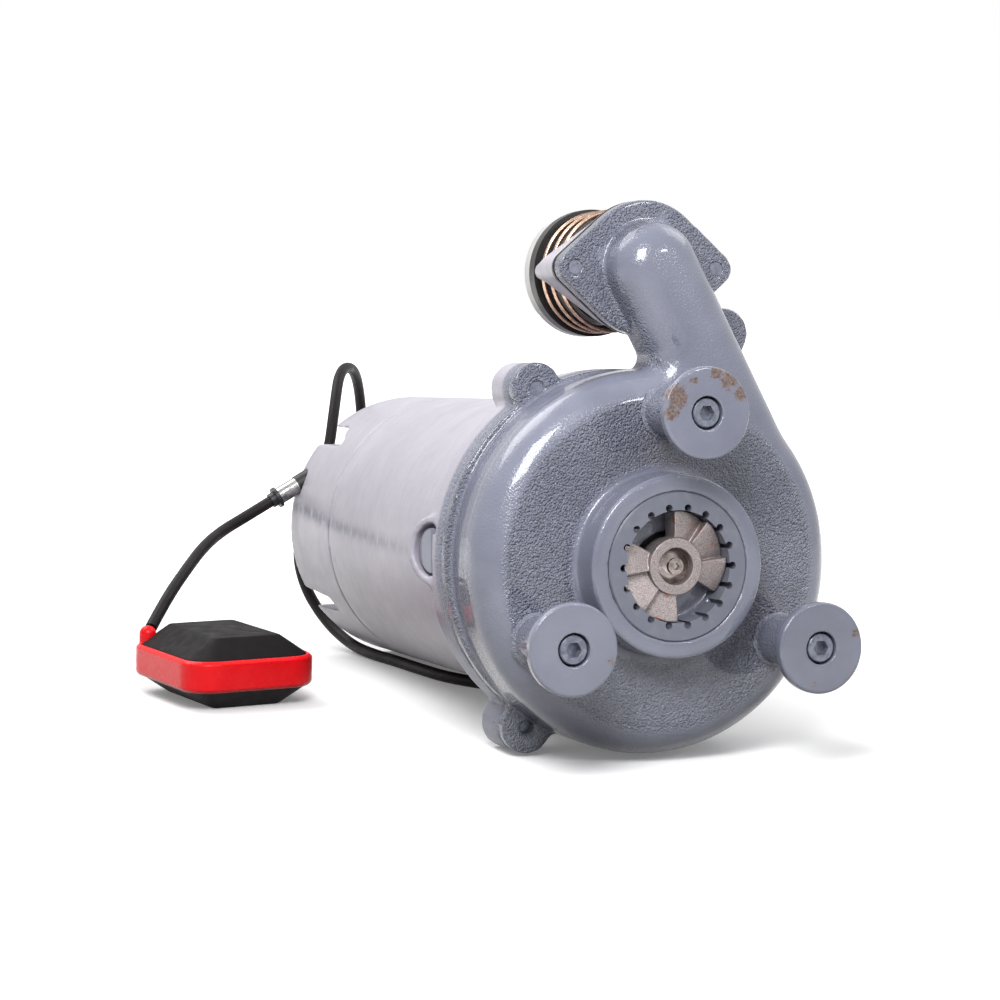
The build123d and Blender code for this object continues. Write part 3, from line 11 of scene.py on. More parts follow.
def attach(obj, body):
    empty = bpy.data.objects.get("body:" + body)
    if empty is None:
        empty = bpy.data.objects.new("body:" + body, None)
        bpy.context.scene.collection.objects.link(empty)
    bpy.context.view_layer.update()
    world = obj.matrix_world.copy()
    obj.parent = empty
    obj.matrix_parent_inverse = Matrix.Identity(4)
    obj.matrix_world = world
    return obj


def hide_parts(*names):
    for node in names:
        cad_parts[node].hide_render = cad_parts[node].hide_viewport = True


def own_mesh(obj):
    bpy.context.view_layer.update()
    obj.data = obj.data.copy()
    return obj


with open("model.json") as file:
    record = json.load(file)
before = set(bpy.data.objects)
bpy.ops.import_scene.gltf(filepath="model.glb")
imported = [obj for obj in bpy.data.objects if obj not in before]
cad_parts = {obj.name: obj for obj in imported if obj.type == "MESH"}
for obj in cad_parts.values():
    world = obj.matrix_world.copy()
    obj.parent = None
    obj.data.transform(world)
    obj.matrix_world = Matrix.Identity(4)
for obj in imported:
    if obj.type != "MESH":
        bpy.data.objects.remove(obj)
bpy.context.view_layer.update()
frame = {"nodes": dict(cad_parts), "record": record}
nodes = frame["nodes"]

# The pump was drawn upright on its shaft axis and then tipped onto the floor; this is that move, in mm
TILT = math.radians(3.074)
SEAT = (0.0, -245.073, 117.428)


def at(x, y, z):
    """A point of the pump's own frame, in mm, as a point of the row's frame, in metres."""
    return Vector((x + SEAT[0], y * math.cos(TILT) + z * math.sin(TILT) + SEAT[1],
                   -y * math.sin(TILT) + z * math.cos(TILT) + SEAT[2])) / 1000


def own(points):
    """Points of the row's frame, in metres, in the pump's own frame, in mm."""
    p = np.asarray(points) * 1000 - np.array(SEAT)
    c, s = math.cos(TILT), math.sin(TILT)
    return np.stack([p[:, 0], p[:, 1] * c - p[:, 2] * s, p[:, 1] * s + p[:, 2] * c], axis=1)


def put(name, data):
    """New object in the scene with this data."""
    piece = bpy.data.objects.new(name, data)
    bpy.context.scene.collection.objects.link(piece)
    return piece


# ---- Materials

def feed(socket, value):
    """Link another node's output to the socket, or set a number or a colour on it."""
    if isinstance(value, bpy.types.NodeSocket):
        socket.id_data.links.new(value, socket)
    else:
        socket.default_value = (*value, 1) if isinstance(value, tuple) else value


class Paint:
    """A node material under construction. Scales are per metre, and distances are in metres."""

    def __init__(self, name):
        self.material = bpy.data.materials.new(name)
        self.material.use_nodes = True
        self.tree = self.material.node_tree
        self.shader = self.tree.nodes["Principled BSDF"]
        self.place = self.add("ShaderNodeTexCoord").outputs["Object"]

    def add(self, kind, **settings):
        """New node of this kind, with its settings."""
        node = self.tree.nodes.new(kind)
        for key, value in settings.items():
            setattr(node, key, value)
        return node

    def noise(self, scale, detail=3.0, rough=0.5, stretch=None):
        """Cloudy noise from 0 to 1, drawn out along an axis where stretch is below 1."""
        node = self.add("ShaderNodeTexNoise")
        node.inputs["Scale"].default_value = scale
        node.inputs["Detail"].default_value = detail
        node.inputs["Roughness"].default_value = rough
        place = self.place
        if stretch:
            mapping = self.add("ShaderNodeMapping")
            mapping.inputs["Scale"].default_value = stretch
            feed(mapping.inputs["Vector"], place)
            place = mapping.outputs["Vector"]
        feed(node.inputs["Vector"], place)
        return node.outputs["Fac"]

    def cells(self, scale, smooth=0.3):
        """Distance to the nearest of scattered points, as in hammered or peeled paint."""
        node = self.add("ShaderNodeTexVoronoi", feature="SMOOTH_F1")
        node.inputs["Scale"].default_value = scale
        node.inputs["Smoothness"].default_value = smooth
        feed(node.inputs["Vector"], self.place)
        return node.outputs["Distance"]

    def waves(self, axis, scale, distortion):
        """Bands across this axis."""
        node = self.add("ShaderNodeTexWave", bands_direction=axis)
        node.inputs["Scale"].default_value = scale
        node.inputs["Distortion"].default_value = distortion
        feed(node.inputs["Vector"], self.place)
        return node.outputs["Fac"]

    def math(self, operation, a, b):
        node = self.add("ShaderNodeMath", operation=operation)
        feed(node.inputs[0], a)
        feed(node.inputs[1], b)
        return node.outputs["Value"]

    def spread(self, value, low, high, to_low=0.0, to_high=1.0):
        """The value's range from low to high stretched over another range, and clamped there."""
        node = self.add("ShaderNodeMapRange", clamp=True)
        feed(node.inputs["Value"], value)
        node.inputs["From Min"].default_value = low
        node.inputs["From Max"].default_value = high
        node.inputs["To Min"].default_value = to_low
        node.inputs["To Max"].default_value = to_high
        return node.outputs["Result"]

    def mask(self, name):
        """A value that set_mask stores on the mesh, and 0 where the mesh has none."""
        node = self.add("ShaderNodeAttribute", attribute_name=name)
        return node.outputs["Fac"]

    def mix(self, factor, a, b):
        """Colour a at factor 0 and colour b at factor 1."""
        node = self.add("ShaderNodeMix", data_type="RGBA")
        feed(node.inputs["Factor"], factor)
        feed(node.inputs[6], a)
        feed(node.inputs[7], b)
        return node.outputs[2]

    def bump(self, height, strength, distance, normal=None):
        """Normal of a surface that rises with this height, on top of another normal where one is given."""
        node = self.add("ShaderNodeBump")
        node.inputs["Distance"].default_value = distance
        feed(node.inputs["Strength"], strength)
        feed(node.inputs["Height"], height)
        if normal is not None:
            feed(node.inputs["Normal"], normal)
        return node.outputs["Normal"]

    def finish(self, color, roughness, normal=None, **values):
        """Feed the shader; the other values go by the names of its sockets, with _ for each space."""
        feed(self.shader.inputs["Base Color"], color)
        feed(self.shader.inputs["Roughness"], roughness)
        if normal is not None:
            feed(self.shader.inputs["Normal"], normal)
        for name, value in values.items():
            feed(self.shader.inputs[name.replace("_", " ")], value)
        return self.material


def srgb(r, g, b):
    """Linear colour from 0-255 values as seen on a screen."""
    return tuple(((c / 255 + 0.055) / 1.055) ** 2.4 if c > 10 else c / 255 / 12.92 for c in (r, g, b))


PAINT_TONE = srgb(124, 127, 143)
PAINT_DARK = srgb(108, 111, 127)
# Pale tone of the painted highlight along the case's front edge
EDGE_HIGHLIGHT_TONE = srgb(176, 180, 194)
PALE_TONE = srgb(186, 182, 192)
PALE_DARK = srgb(168, 163, 175)
PALE_STREAK = srgb(148, 143, 156)
# Tone of the painted dark line of shade and reflection along the motor's left side
PAINTED_SHADE_TONE = srgb(98, 97, 114)
GRIME = srgb(92, 82, 80)
RUST = srgb(86, 68, 63)
RUST_LIGHT = srgb(122, 106, 101)


def worn_through(m):
    """How far the paint is gone: the wear mask with a ragged edge."""
    return m.spread(m.math("ADD", m.mask("wear"), m.math("MULTIPLY", m.noise(340, 4, 0.65), 0.9)), 0.92, 1.08)


def rust_tone(m):
    return m.mix(m.spread(m.noise(700, 2), 0.35, 0.65), RUST, RUST_LIGHT)


def peel_strength(m, most, least):
    """Strength of the paint's orange peel, from its mask."""
    return m.math("ADD", m.math("MULTIPLY", m.mask("peel"), most), least)


def painted_casting():
    """Glossy blue-grey paint on rough castings: orange peel where the mask asks, brown wear in spots."""
    m = Paint("blue_grey_paint")
    tone = m.mix(m.spread(m.noise(22, 3), 0.35, 0.7), PAINT_TONE, PAINT_DARK)
    # Painted highlight: a pale line along the case's front edge, where the light catches it
    tone = m.mix(m.mask("edge_highlight"), tone, EDGE_HIGHLIGHT_TONE)
    wear = worn_through(m)
    color = m.mix(wear, tone, rust_tone(m))
    grime = m.math("MULTIPLY", m.mask("grime"), m.spread(m.noise(60, 4), 0.3, 0.7))
    color = m.mix(grime, color, GRIME)
    lumps = m.math("ADD", m.noise(640, 2, 0.4), m.math("MULTIPLY", m.cells(800, 0.12), -0.9))
    peel = m.bump(lumps, peel_strength(m, 0.97, 0.02), 0.0018)
    swell = m.bump(m.noise(60, 2), 0.2, 0.0014, peel)
    rough = m.spread(wear, 0.0, 1.0, 0.2, 0.7)
    return m.finish(color, rough, swell, Coat_Weight=0.6, Coat_Roughness=0.04, Specular_IOR_Level=0.3)


def pale_casting():
    """Matter, paler paint of the motor and the coupling, cloudy and streaked round the shaft axis."""
    m = Paint("pale_grey_paint")
    tone = m.mix(m.spread(m.noise(13, 4, 0.6), 0.32, 0.7), PALE_TONE, PALE_DARK)
    streaks = m.spread(m.noise(300, 4, 0.65, (0.22, 1, 0.22)), 0.5, 0.8, 0, 0.45)
    tone = m.mix(streaks, tone, PALE_STREAK)
    tone = m.mix(m.mask("blue"), tone, PAINT_TONE)
    # Painted shade and reflection: a dark line along the left side of the motor and cover
    painted_shade = m.math("MULTIPLY", m.mask("painted_shade"), m.spread(m.noise(190, 4, 0.65, (1, 1, 0.5)), 0.3, 0.52))
    tone = m.mix(painted_shade, tone, PAINTED_SHADE_TONE)
    color = m.mix(worn_through(m), tone, rust_tone(m))
    lumps = m.math("ADD", m.noise(520, 3, 0.5), m.math("MULTIPLY", m.cells(760), -0.6))
    peel = m.bump(lumps, peel_strength(m, 0.95, 0.05), 0.0012)
    swell = m.bump(m.noise(38, 3, 0.5), 0.18, 0.0022, peel)
    return m.finish(color, m.spread(m.noise(90, 3), 0.3, 0.7, 0.36, 0.48), swell, Coat_Weight=0.15,
                    Coat_Roughness=0.2)


def plain_metal(name, tone, dark, roughness, scale=300.0, stretch=None, metallic=1.0, dent=0.15, rust=0.0):
    """Bare metal with fine streaks or grain, and some brown specks where asked."""
    m = Paint(name)
    grain = m.noise(scale, 4, 0.6, stretch)
    color = m.mix(m.spread(grain, 0.35, 0.65), tone, dark)
    if rust:
        specks = m.spread(m.noise(260, 5, 0.7), 0.70 - rust * 0.15, 0.76 - rust * 0.1)
        color = m.mix(specks, color, RUST)
    rough = m.spread(grain, 0.3, 0.7, roughness * 0.8, min(1.0, roughness * 1.25))
    return m.finish(color, rough, m.bump(grain, dent, 0.0004), Metallic=metallic)


def moulded(name, tone, dark, roughness, grain_scale=900.0, dent=0.2, depth=0.0003, **values):
    """Plastic or rubber with a fine moulded grain."""
    m = Paint(name)
    blotch = m.spread(m.noise(35, 3), 0.35, 0.7)
    color = m.mix(blotch, tone, dark)
    grain = m.noise(grain_scale, 2)
    rough = m.spread(m.noise(120, 3), 0.3, 0.7, roughness * 0.85, min(1.0, roughness * 1.15))
    return m.finish(color, rough, m.bump(grain, dent, depth), **values)


def cutter_steel():
    """Speckled bare cast steel with rust."""
    m = Paint("cutter_cast_steel")
    speck = m.noise(1500, 3, 0.6)
    color = m.mix(m.spread(speck, 0.34, 0.7), srgb(162, 152, 151), srgb(104, 96, 96))
    rust = m.math("ADD", m.mask("wear"), m.math("MULTIPLY", m.noise(300, 4, 0.6), 0.8))
    color = m.mix(m.spread(rust, 0.9, 1.1), color, srgb(150, 84, 54))
    pits = m.bump(m.noise(1400, 3), 0.5, 0.0004)
    return m.finish(color, m.spread(speck, 0.3, 0.7, 0.3, 0.48), pits, Metallic=0.6)


def ring_steel():
    """Hard ring whose face kept a thin coat of grey paint with bare worn edges."""
    m = Paint("ring_grey_steel")
    worn = m.spread(m.noise(120, 5, 0.65), 0.45, 0.72)
    color = m.mix(worn, srgb(106, 109, 122), srgb(118, 119, 128))
    rust = m.spread(m.noise(420, 4, 0.7), 0.72, 0.78)
    color = m.mix(rust, color, RUST)
    return m.finish(color, m.spread(worn, 0, 1, 0.32, 0.45), m.bump(m.noise(500, 3), 0.2, 0.0004), Metallic=0.2)


def layered_metal(name, axis, layers, distortion, dark, tone, roughness, dent, depth, metallic):
    """Metal in fine layers across the axis, such as wound wire or stacked sheets."""
    m = Paint(name)
    lines = m.waves(axis, layers, distortion)
    return m.finish(m.mix(lines, dark, tone), roughness, m.bump(lines, dent, depth), Metallic=metallic)


paint = painted_casting()
pale_paint = pale_casting()
bright = plain_metal("machined_steel", srgb(200, 197, 196), srgb(158, 155, 155), 0.24, 420)
washer_steel = plain_metal("polished_washer_steel", srgb(158, 148, 145), srgb(104, 95, 92), 0.2, 260, dent=0.1,
                           rust=0.2)
screw_steel = plain_metal("painted_screw_steel", srgb(124, 128, 142), srgb(92, 96, 110), 0.32, 380,
                          metallic=0.3, rust=0.35)
iron = plain_metal("grey_iron", srgb(92, 92, 94), srgb(66, 66, 68), 0.6, 160, metallic=0.5, dent=0.4)
aluminium = plain_metal("cast_aluminium", srgb(205, 206, 208), srgb(176, 178, 182), 0.42, 220)
ferrule_metal = plain_metal("plated_ferrule", srgb(196, 196, 194), srgb(140, 138, 136), 0.22, 260, dent=0.3)
brass = plain_metal("plug_pin_metal", srgb(214, 186, 118), srgb(186, 156, 94), 0.25, 300)
copper_wire = plain_metal("copper_spring_wire", srgb(206, 176, 156), srgb(160, 128, 110), 0.28, 300, rust=0.1)
ceramic = moulded("seal_ceramic", srgb(58, 58, 60), srgb(44, 44, 46), 0.15, 500, 0.05)
rubber = moulded("black_rubber", srgb(30, 28, 29), srgb(22, 21, 22), 0.42, 700, 0.15)
cord_rubber = moulded("cord_rubber", srgb(33, 27, 29), srgb(23, 19, 21), 0.5, 500, 0.12, 0.0003,
                      Specular_IOR_Level=0.2)
black_plastic = moulded("black_plastic", srgb(36, 36, 38), srgb(28, 28, 30), 0.4, 800, 0.12)
white_plastic = moulded("pale_plastic", srgb(206, 205, 203), srgb(184, 182, 180), 0.42, 500, 0.1)
float_black = moulded("float_black", srgb(25, 21, 23), srgb(20, 17, 19), 0.6, 1000, 0.3, 0.0004,
                      Specular_IOR_Level=0.14)
float_red = moulded("float_red", srgb(244, 12, 24), srgb(236, 11, 22), 0.28, 300, 0.05, 0.0002,
                    Specular_IOR_Level=0.25)
ring_look = ring_steel()
cutter_look = cutter_steel()
winding_look = layered_metal("copper_windings", "Z", 260, 1.5, srgb(150, 84, 48), srgb(196, 122, 74), 0.35, 0.5,
                             0.0005, 0.8)
lamination_look = layered_metal("laminated_steel", "Y", 320, 0.3, srgb(120, 120, 124), srgb(160, 160, 164), 0.4,
                                0.4, 0.0003, 0.9)

looks = {
    paint: ["volute_casing", "foot_pad_top", "foot_pad_left", "foot_pad_right", "oil_plug"],
    pale_paint: ["motor_housing", "motor_cover", "coupling_cage"],
    washer_steel: ["cutter_washer", "cutter_screw"],
    bright: ["pump_shaft", "impeller_key", "seal_spring", "seal_collar",
             "bearing_outer_rings", "bearing_inner_rings", "bearing_balls", "bearing_washer", "float_ball",
             "cover_screws", "seal_plate_screws", "coupling_spigot"],
    screw_steel: ["foot_screws", "casing_bolts", "coupling_studs"],
    iron: ["impeller", "seal_plate", "bearing_bracket"],
    lamination_look: ["stator_core", "rotor_core"],
    aluminium: ["rotor_end_rings"],
    winding_look: ["stator_windings"],
    copper_wire: ["coupling_spring"],
    rubber: ["coupling_sleeve", "coupling_gasket", "casing_seal", "oil_lip_seal", "float_grommet",
             "float_cord_boot", "power_strain_relief"],
    black_plastic: ["terminal_block", "float_switch", "power_plug", "power_gland_nut"],
    white_plastic: ["coupling_ring", "motor_capacitor"],
    ceramic: ["seal_seat", "seal_head"],
    float_black: ["float_shell_top", "float_shell_bottom"],
    float_red: ["float_band"],
    ferrule_metal: ["float_ferrule"],
    brass: ["plug_pins"],
    ring_look: ["shredding_ring"],
    cutter_look: ["rotary_cutter"],
    cord_rubber: ["power_cord", "power_cord_coil", "power_cord_tail", "float_cord"],
}
look_of = {name: look for look, names in looks.items() for name in names}
for name, look in look_of.items():
    nodes[name].data.materials.clear()
    nodes[name].data.materials.append(look)

# ---- Castings with soft edges

body_of_node = {name: body for body, names in frame["record"]["behaviour"]["bodies"].items() for name in names}


def soft_copy(node, voxel, rounds):
    """Copy of a CAD node with its edges softened as a casting's are; it replaces the node."""
    piece = put(node + "_cast", nodes[node].data.copy())
    remesh = piece.modifiers.new("remesh", "REMESH")
    remesh.mode = "VOXEL"
    remesh.voxel_size = voxel
    relax = piece.modifiers.new("relax", "SMOOTH")
    relax.factor = 0.5
    relax.iterations = rounds
    graph = bpy.context.evaluated_depsgraph_get()
    mesh = bpy.data.meshes.new_from_object(piece.evaluated_get(graph))
    piece.modifiers.clear()
    piece.data = mesh
    mesh.materials.clear()
    mesh.materials.append(look_of[node])
    mesh.polygons.foreach_set("use_smooth", np.ones(len(mesh.polygons), bool))
    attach(piece, body_of_node[node])
    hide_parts(node)
    return piece


def vertices(piece):
    """The piece's vertices as an array, in metres."""
    co = np.empty(len(piece.data.vertices) * 3, np.float32)
    piece.data.vertices.foreach_get("co", co)
    return co.reshape(-1, 3)


def set_mask(piece, name, values):
    """Store one value per vertex for the materials."""
    attribute = piece.data.attributes.new(name, "FLOAT", "POINT")
    attribute.data.foreach_set("value", np.clip(values, 0, 1).astype(np.float32))


def near(points, spots):
    """How near each point is to worn spots: each spot is (x, y, z, radius, strength), in the own frame."""
    total = np.zeros(len(points))
    for x, y, z, radius, strength in spots:
        d = np.linalg.norm(points - np.array([x, y, z]), axis=1)
        total = np.maximum(total, strength * np.exp(-(d / radius) ** 2))
    return total


def step(values, low, high):
    """Smooth rise from 0 at low to 1 at high."""
    t = np.clip((values - low) / (high - low), 0, 1)
    return t * t * (3 - 2 * t)


# Where the castings' forms lie in the pump's own frame, in mm; the elbow's middle is (x, z)
ELBOW = (2.7, 168.0)
ARM_LEAN = math.radians(28)
CASE_R = 110.0
CASE_EDGE_Y = 77
FACE_Y = 54
RING_SEAM_R = 43.6
FOOT_FACE_Y = 0
CUTTER_FACE_Y = 37


def mask_volute(piece):
    """Peel on the face, ears and flange but not on the arm, with worn spots, grime and a painted highlight along
    the front edge of the case.
    """
    p = own(vertices(piece))
    radius = np.hypot(p[:, 0], p[:, 2])
    from_elbow = p[:, [0, 2]] - np.array(ELBOW)
    down_arm = np.array([math.sin(ARM_LEAN), -math.cos(ARM_LEAN)])
    along = from_elbow @ down_arm
    aside = np.abs(from_elbow @ np.array([-down_arm[1], down_arm[0]]))
    off_arm = np.maximum(step(aside, 22, 27), np.maximum(step(-along, 20, 26), step(along, 92, 112)))
    off_boss = step(radius, 53, 60)
    flange = step(-np.linalg.norm(from_elbow, axis=1), -62, -50)
    face = step(-p[:, 1], -66, -58) * step(-radius, -99, -90)
    ears = step(radius, CASE_R - 1, CASE_R + 3)
    rough = np.maximum(np.maximum(face, ears), flange)
    set_mask(piece, "peel", rough * off_arm * off_boss + 0.12)
    face_wear = near(p, [(-1.4, FACE_Y, 70, 9, 0.42), (11, FACE_Y, 57.6, 6, 0.5),
                         (58.7, FACE_Y, -30.7, 8, 0.42), (-13.7, FACE_Y, 53.4, 8, 0.35)])
    # The seam round the shredding ring is worn most on its right
    ring_seam = np.exp(-((radius - RING_SEAM_R) / 1.1) ** 2) * (p[:, 1] < 34) * step(p[:, 0], -30, 20)
    set_mask(piece, "wear", np.maximum(face_wear, 0.5 * ring_seam))
    set_mask(piece, "grime", near(p, [(58, FACE_Y, -36, 22, 0.45), (-50, FACE_Y, -46, 18, 0.3),
                                      (0, FACE_Y, 74, 20, 0.6)]))
    # Painted highlight: a thin pale line round the case, left of the arm, where its front round meets the barrel
    at_case_r = step(radius, CASE_R - 3, CASE_R - 1) * (1 - step(radius, CASE_R + 1, CASE_R + 3))
    case_edge_highlight = np.exp(-((p[:, 1] - CASE_EDGE_Y) / 0.8) ** 2) * at_case_r
    set_mask(piece, "edge_highlight", case_edge_highlight * step(-p[:, 0], -12, 4) * off_arm * 0.35)


def painted_shade_line(points):
    """Painted shade: a soft dark line of shade and reflected horizon that runs along the left side, by its
    height and strength at some y values.
    """
    height = np.interp(points[:, 1], [197, 300, 392, 465, 491], [-2.4, 2.2, 6.7, 14, 15])
    fade = np.interp(points[:, 1], [200, 300, 400, 470], [0.15, 0.6, 0.75, 1])
    return np.exp(-((points[:, 2] - height) / 4.5) ** 2) * (points[:, 0] < -60) * fade


def mask_housing(piece):
    """Casing paint on the joint's edge and below the oil plug, where it was sprayed over, two worn spots, and a
    painted dark line of shade along the left side.
    """
    p = own(vertices(piece))
    radius = np.hypot(p[:, 0], p[:, 2])
    joint_edge = step(radius, 104, 107) * (1 - step(p[:, 1], 112, 117))
    below_plug = step(radius, 96, 102) * step(-p[:, 2], 26, 32) * (1 - step(p[:, 1], 134, 140))
    set_mask(piece, "peel", 0.2 * (1 - step(p[:, 1], 130, 150)) + joint_edge)
    set_mask(piece, "blue", np.maximum(joint_edge, below_plug))
    set_mask(piece, "wear", near(p, [(-107, 118, -46, 8, 0.55), (-103, 120, -54, 6, 0.45)]))
    # Painted shade: a dark line of shade and reflected horizon along the left side
    set_mask(piece, "painted_shade", painted_shade_line(p))


# Chipped paint on the feet; most of it is round the rim of the top one
FOOT_WEAR = {
    "foot_pad_top": [(-16, FOOT_FACE_Y, 95, 10, 0.8), (-19, FOOT_FACE_Y, 86, 7, 0.75),
                     (8, FOOT_FACE_Y, 108, 7, 0.75), (16, FOOT_FACE_Y, 105, 9, 0.8),
                     (23, FOOT_FACE_Y, 97, 8, 0.75), (-6, FOOT_FACE_Y, 104, 5, 0.6),
                     (-14, FOOT_FACE_Y, 66, 5, 0.55), (-23, FOOT_FACE_Y + 3, 84, 9, 0.5)],
    "foot_pad_left": [(-54, FOOT_FACE_Y, -47, 5, 0.6)],
    "foot_pad_right": [(94, FOOT_FACE_Y, -37, 5, 0.65), (69, FOOT_FACE_Y, -65.5, 4, 0.55),
                       (91, FOOT_FACE_Y, -63.6, 5, 0.55)],
}
CUTTER_RUST = [(-2, CUTTER_FACE_Y, 26, 4, 0.75), (15, CUTTER_FACE_Y, 22, 4.5, 0.75),
               (24.6, CUTTER_FACE_Y, 11, 4, 0.75), (20, CUTTER_FACE_Y, 4, 3.5, 0.7),
               (-5, CUTTER_FACE_Y, -16, 4, 0.65), (-10, CUTTER_FACE_Y, -30, 4, 0.7)]

mask_volute(soft_copy("volute_casing", 0.0011, 7))
mask_housing(soft_copy("motor_housing", 0.0016, 5))
cover = soft_copy("motor_cover", 0.0014, 6)
# Painted shade: the same dark line of shade and reflected horizon runs on along the cover
set_mask(cover, "painted_shade", painted_shade_line(own(vertices(cover))))
for name, spots in FOOT_WEAR.items():
    foot = soft_copy(name, 0.0006, 5)
    p = own(vertices(foot))
    set_mask(foot, "wear", near(p, spots))
    set_mask(foot, "peel", 0.1 + 0.5 * step(p[:, 1], 10, 20))
soft_copy("coupling_cage", 0.0009, 4)
soft_copy("oil_plug", 0.0005, 3)

# The coupling spring gets its own copy of the mesh on its body; the sleeve slides towards the cage, where the
# spring's other end stays, but the copy does not shorten
spring = put("coupling_spring_coil", nodes["coupling_spring"].data.copy())
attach(spring, body_of_node["coupling_spring"])
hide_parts("coupling_spring")
reach = own(vertices(spring))[:, 1]
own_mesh(spring)

cutter = soft_copy("rotary_cutter", 0.0004, 4)
set_mask(cutter, "wear", near(own(vertices(cutter)), CUTTER_RUST))

shell_top = soft_copy("float_shell_top", 0.0008, 5)
shell_low = soft_copy("float_shell_bottom", 0.0008, 5)
band = soft_copy("float_band", 0.0006, 4)

# ---- Cords: they follow the same routes as the solids, in mm; names that end in _M or _m hold metres

CORD_D_M = 0.008
POWER_EXIT_M = at(2, 528, 22)
POWER_LEAD_M = at(2, 557.6, 22)
POWER_ROUTE = [(3.7, 351.1, 105.7), (6.1, 380.3, 130.7), (5.7, 382.9, 169.8), (-7.4, 359.7, 198.3),
               (-29.8, 325.9, 199), (-42, 299, 171), (-50, 286, 139), (-63, 281, 106), (-74, 284, 74),
               (-69, 284, 44), (-57, 266, 19), (-47, 237, 6), (-42, 205, 4), (-35, 170, 4), (-30, 132, 4),
               (-23, 94, 4), (-3, 58, 4), (31, 40, 4), (68, 48, 4), (92, 66, 4), (114, 73.5, 4)]
COIL_MIDDLE = (142.0, 140.8)
COIL_LOW = 4.0
COIL_IN_R, COIL_STEP, COIL_LOOPS, COIL_TURNS = 32.5, 8.7, 4, 17.25
COIL_POINTS_A_TURN = 16
COIL_END_LEAD = 43.0
PLUG = Vector((200.0, 244.0, 17.0))
PLUG_WAY = Vector((math.cos(math.radians(100)), math.sin(math.radians(100)), 0))
PLUG_LEAD = 24.0

HOUSING_R = 91.6
FLOAT_GLAND_Y, FLOAT_GLAND_Z, FLOAT_GLAND_DIP = 479, 31, math.radians(30)
BOOT_REACH_M = 0.025
FLOAT_LEAD_M = 0.047
FLOAT_ROUTE = [(-146, 224, 91), (-166, 197, 83.5), (-186, 167, 71), (-205, 140, 57)]
FLOAT_SOCKET_M = Vector((-0.219819, 0.121105, 0.0407506))


def coil_point(turn):
    """Centre line of the put-away coil after this many turns: flat layers wound out, in and out again."""
    span = COIL_LOOPS + 0.5
    layer = min(int(turn / span), int(COIL_TURNS / span))
    u = turn - layer * span
    out_r = COIL_IN_R + COIL_LOOPS * COIL_STEP
    height = COIL_LOW + layer * COIL_STEP
    if u <= COIL_LOOPS:
        shift = COIL_STEP * u
        r = out_r - shift if layer % 2 == 0 else COIL_IN_R + shift
    else:
        climb = (u - COIL_LOOPS) * 2
        dip = COIL_STEP / 2 * climb * (1 - climb)
        r = COIL_IN_R - dip if layer % 2 == 0 else out_r + dip
        height += COIL_STEP * climb
    angle = 2 * math.pi * turn - math.pi / 2
    return Vector((COIL_MIDDLE[0] + r * math.cos(angle), COIL_MIDDLE[1] + r * math.sin(angle), height))


def in_metres(points):
    return [Vector(point) / 1000 for point in points]


def cord_curve(name, points):
    """Round cord whose spline has these points, in metres, as its control points."""
    curve = bpy.data.curves.new(name, "CURVE")
    curve.dimensions = "3D"
    curve.bevel_depth = CORD_D_M / 2
    curve.bevel_resolution = 6
    curve.resolution_u = 10
    curve.use_fill_caps = True
    spline = curve.splines.new("NURBS")
    spline.points.add(len(points) - 1)
    for point, place in zip(spline.points, points):
        point.co = (*place, 1)
    spline.order_u = 3
    spline.use_endpoint_u = True
    curve.materials.append(cord_rubber)
    return put(name, curve)


coil_steps = int(COIL_TURNS * COIL_POINTS_A_TURN)
coil_points = [coil_point(COIL_TURNS * i / coil_steps) for i in range(coil_steps + 1)]
coil_way = (coil_points[-1] - coil_point(COIL_TURNS - 0.002)).normalized()
tail_points = [coil_points[-1] + coil_way * COIL_END_LEAD, PLUG - PLUG_WAY * PLUG_LEAD, PLUG]
power = cord_curve("power_cord_line",
                   [POWER_EXIT_M, POWER_LEAD_M] + in_metres(POWER_ROUTE + coil_points + tail_points))
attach(power, "pump")
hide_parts("power_cord", "power_cord_coil", "power_cord_tail")

gland_m = at(-math.sqrt(HOUSING_R ** 2 - FLOAT_GLAND_Z ** 2), FLOAT_GLAND_Y, FLOAT_GLAND_Z)
gland_way = (at(-math.cos(FLOAT_GLAND_DIP), 0, -math.sin(FLOAT_GLAND_DIP)) - at(0, 0, 0)).normalized()
float_exit_m = gland_m + gland_way * BOOT_REACH_M
float_lead_m = gland_m + gland_way * FLOAT_LEAD_M
float_line = cord_curve("float_cord_line", [float_exit_m, float_lead_m, *in_metres(FLOAT_ROUTE), FLOAT_SOCKET_M])
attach(float_line, "pump")
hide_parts("float_cord")

# ---- Camera and lamps

CAMERA_PLACE = (-0.60836, -1.52003, 0.29154)
CAMERA_LOOK = (0.35641, 0.92927, -0.09714)
CAMERA_UP = (0.01683, 0.09757, 0.99509)
CAMERA_LENS = 93.6
CAMERA_SENSOR = 36
CAMERA_FAR = 30

# Place, target, side in metres and power in watts of each square lamp
LAMPS = {
    "rear_top_lamp": ((-0.75, 0.75, 1.45), (-0.03, 0.05, 0.14), 1.0, 15),
    "front_top_lamp": ((-0.38, -0.74, 0.66), (0, -0.2, 0.2), 0.34, 7.5),
    "front_right_lamp": ((0.55, -1.5, 0.85), (0, -0.2, 0.16), 0.22, 4),
    "right_top_lamp": ((1.1, 0.1, 1.4), (0, -0.1, 0.14), 0.9, 5),
}

camera_data = bpy.data.cameras.new("camera")
camera = put("camera", camera_data)
ahead = Vector(CAMERA_LOOK)
right = ahead.cross(Vector(CAMERA_UP)).normalized()
up = right.cross(ahead).normalized()
turn = Matrix((right, up, -ahead)).transposed().to_4x4()
camera.matrix_world = Matrix.Translation(Vector(CAMERA_PLACE)) @ turn
camera_data.lens = CAMERA_LENS
camera_data.sensor_width = CAMERA_SENSOR
camera_data.clip_end = CAMERA_FAR
bpy.context.scene.camera = camera

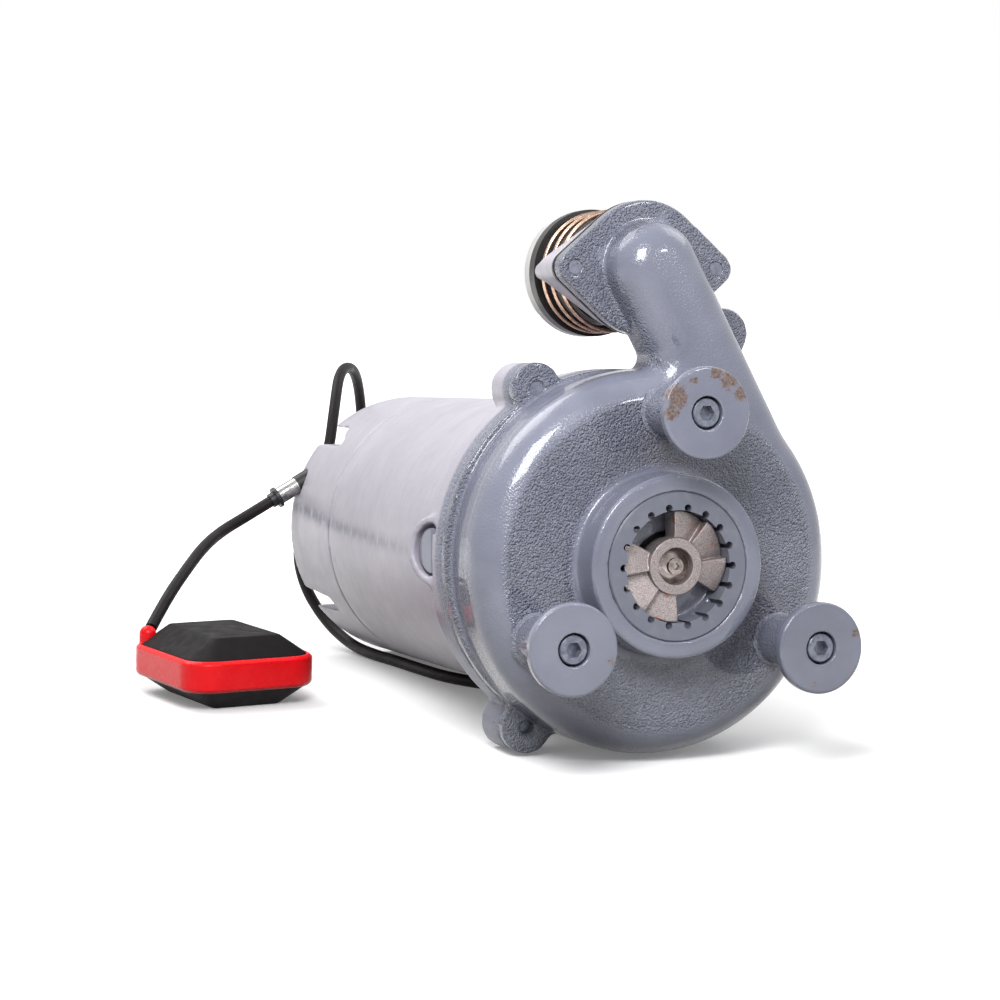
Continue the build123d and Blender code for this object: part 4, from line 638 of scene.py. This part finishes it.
for name, (place, target, side, watts) in LAMPS.items():
    light = bpy.data.lights.new(name, "AREA")
    light.shape = "SQUARE"
    light.size = side
    light.energy = watts
    lamp = put(name, light)
    lamp.location = place
    lamp.rotation_euler = (Vector(target) - Vector(place)).to_track_quat("-Z", "Y").to_euler()
    lamp.visible_camera = False

# ---- Sky and floor

# The sky of the studio is dim at the horizon and bright from this height of its unit sphere up
SKY_HORIZON, SKY_OVERHEAD, SKY_OVERHEAD_FROM = 0.2, 0.8, 0.8
FLOOR_HALF = 9
FLOOR_LEVEL = 0.13


def background_level(tree, unseen):
    """1 for rays of the camera, of reflections and through clear things, and this level for the others."""
    rays = tree.nodes.new("ShaderNodeLightPath")
    seen = rays.outputs["Is Camera Ray"]
    for name in ("Is Glossy Ray", "Is Transmission Ray"):
        either = tree.nodes.new("ShaderNodeMath")
        either.operation = "MAXIMUM"
        feed(either.inputs[0], seen)
        feed(either.inputs[1], rays.outputs[name])
        seen = either.outputs["Value"]
    level = tree.nodes.new("ShaderNodeMapRange")
    feed(level.inputs["Value"], seen)
    feed(level.inputs["To Min"], unseen)
    level.inputs["To Max"].default_value = 1.0
    return level.outputs["Result"]


world = bpy.data.worlds.new("studio")
bpy.context.scene.world = world
world.use_nodes = True
tree = world.node_tree
way = tree.nodes.new("ShaderNodeTexCoord")
parts = tree.nodes.new("ShaderNodeSeparateXYZ")
feed(parts.inputs["Vector"], way.outputs["Generated"])
sky = tree.nodes.new("ShaderNodeMapRange")
feed(sky.inputs["Value"], parts.outputs["Z"])
sky.inputs["From Min"].default_value = 0.0
sky.inputs["From Max"].default_value = SKY_OVERHEAD_FROM
sky.inputs["To Min"].default_value = SKY_HORIZON
sky.inputs["To Max"].default_value = SKY_OVERHEAD
background = tree.nodes["Background"]
background.inputs["Color"].default_value = (1, 1, 1, 1)
feed(background.inputs["Strength"], background_level(tree, sky.outputs["Result"]))

floor_mesh = bmesh.new()
bmesh.ops.create_grid(floor_mesh, x_segments=8, y_segments=8, size=FLOOR_HALF)
floor_data = bpy.data.meshes.new("floor")
floor_mesh.to_mesh(floor_data)
floor_mesh.free()
floor = put("floor", floor_data)

# Away from the object the floor glows for the camera alone, so that it runs on into the white background
m = Paint("floor_white")
tone = m.mix(m.noise(3, 2), (0.95, 0.95, 0.95), (0.92, 0.92, 0.92))
color = m.mix(background_level(m.tree, FLOOR_LEVEL), (0, 0, 0), tone)
from_middle = m.add("ShaderNodeVectorMath", operation="LENGTH")
feed(from_middle.inputs[0], m.place)
glow = m.math("MULTIPLY", m.spread(from_middle.outputs["Value"], 0.3, 1.2, 0.15, 1.0),
              background_level(m.tree, 0.0))
floor_data.materials.append(m.finish(color, 0.9, Emission_Color=(1, 1, 1), Emission_Strength=glow,
                                     Specular_IOR_Level=0.1))

bpy.context.scene.view_settings.view_transform = "Standard"
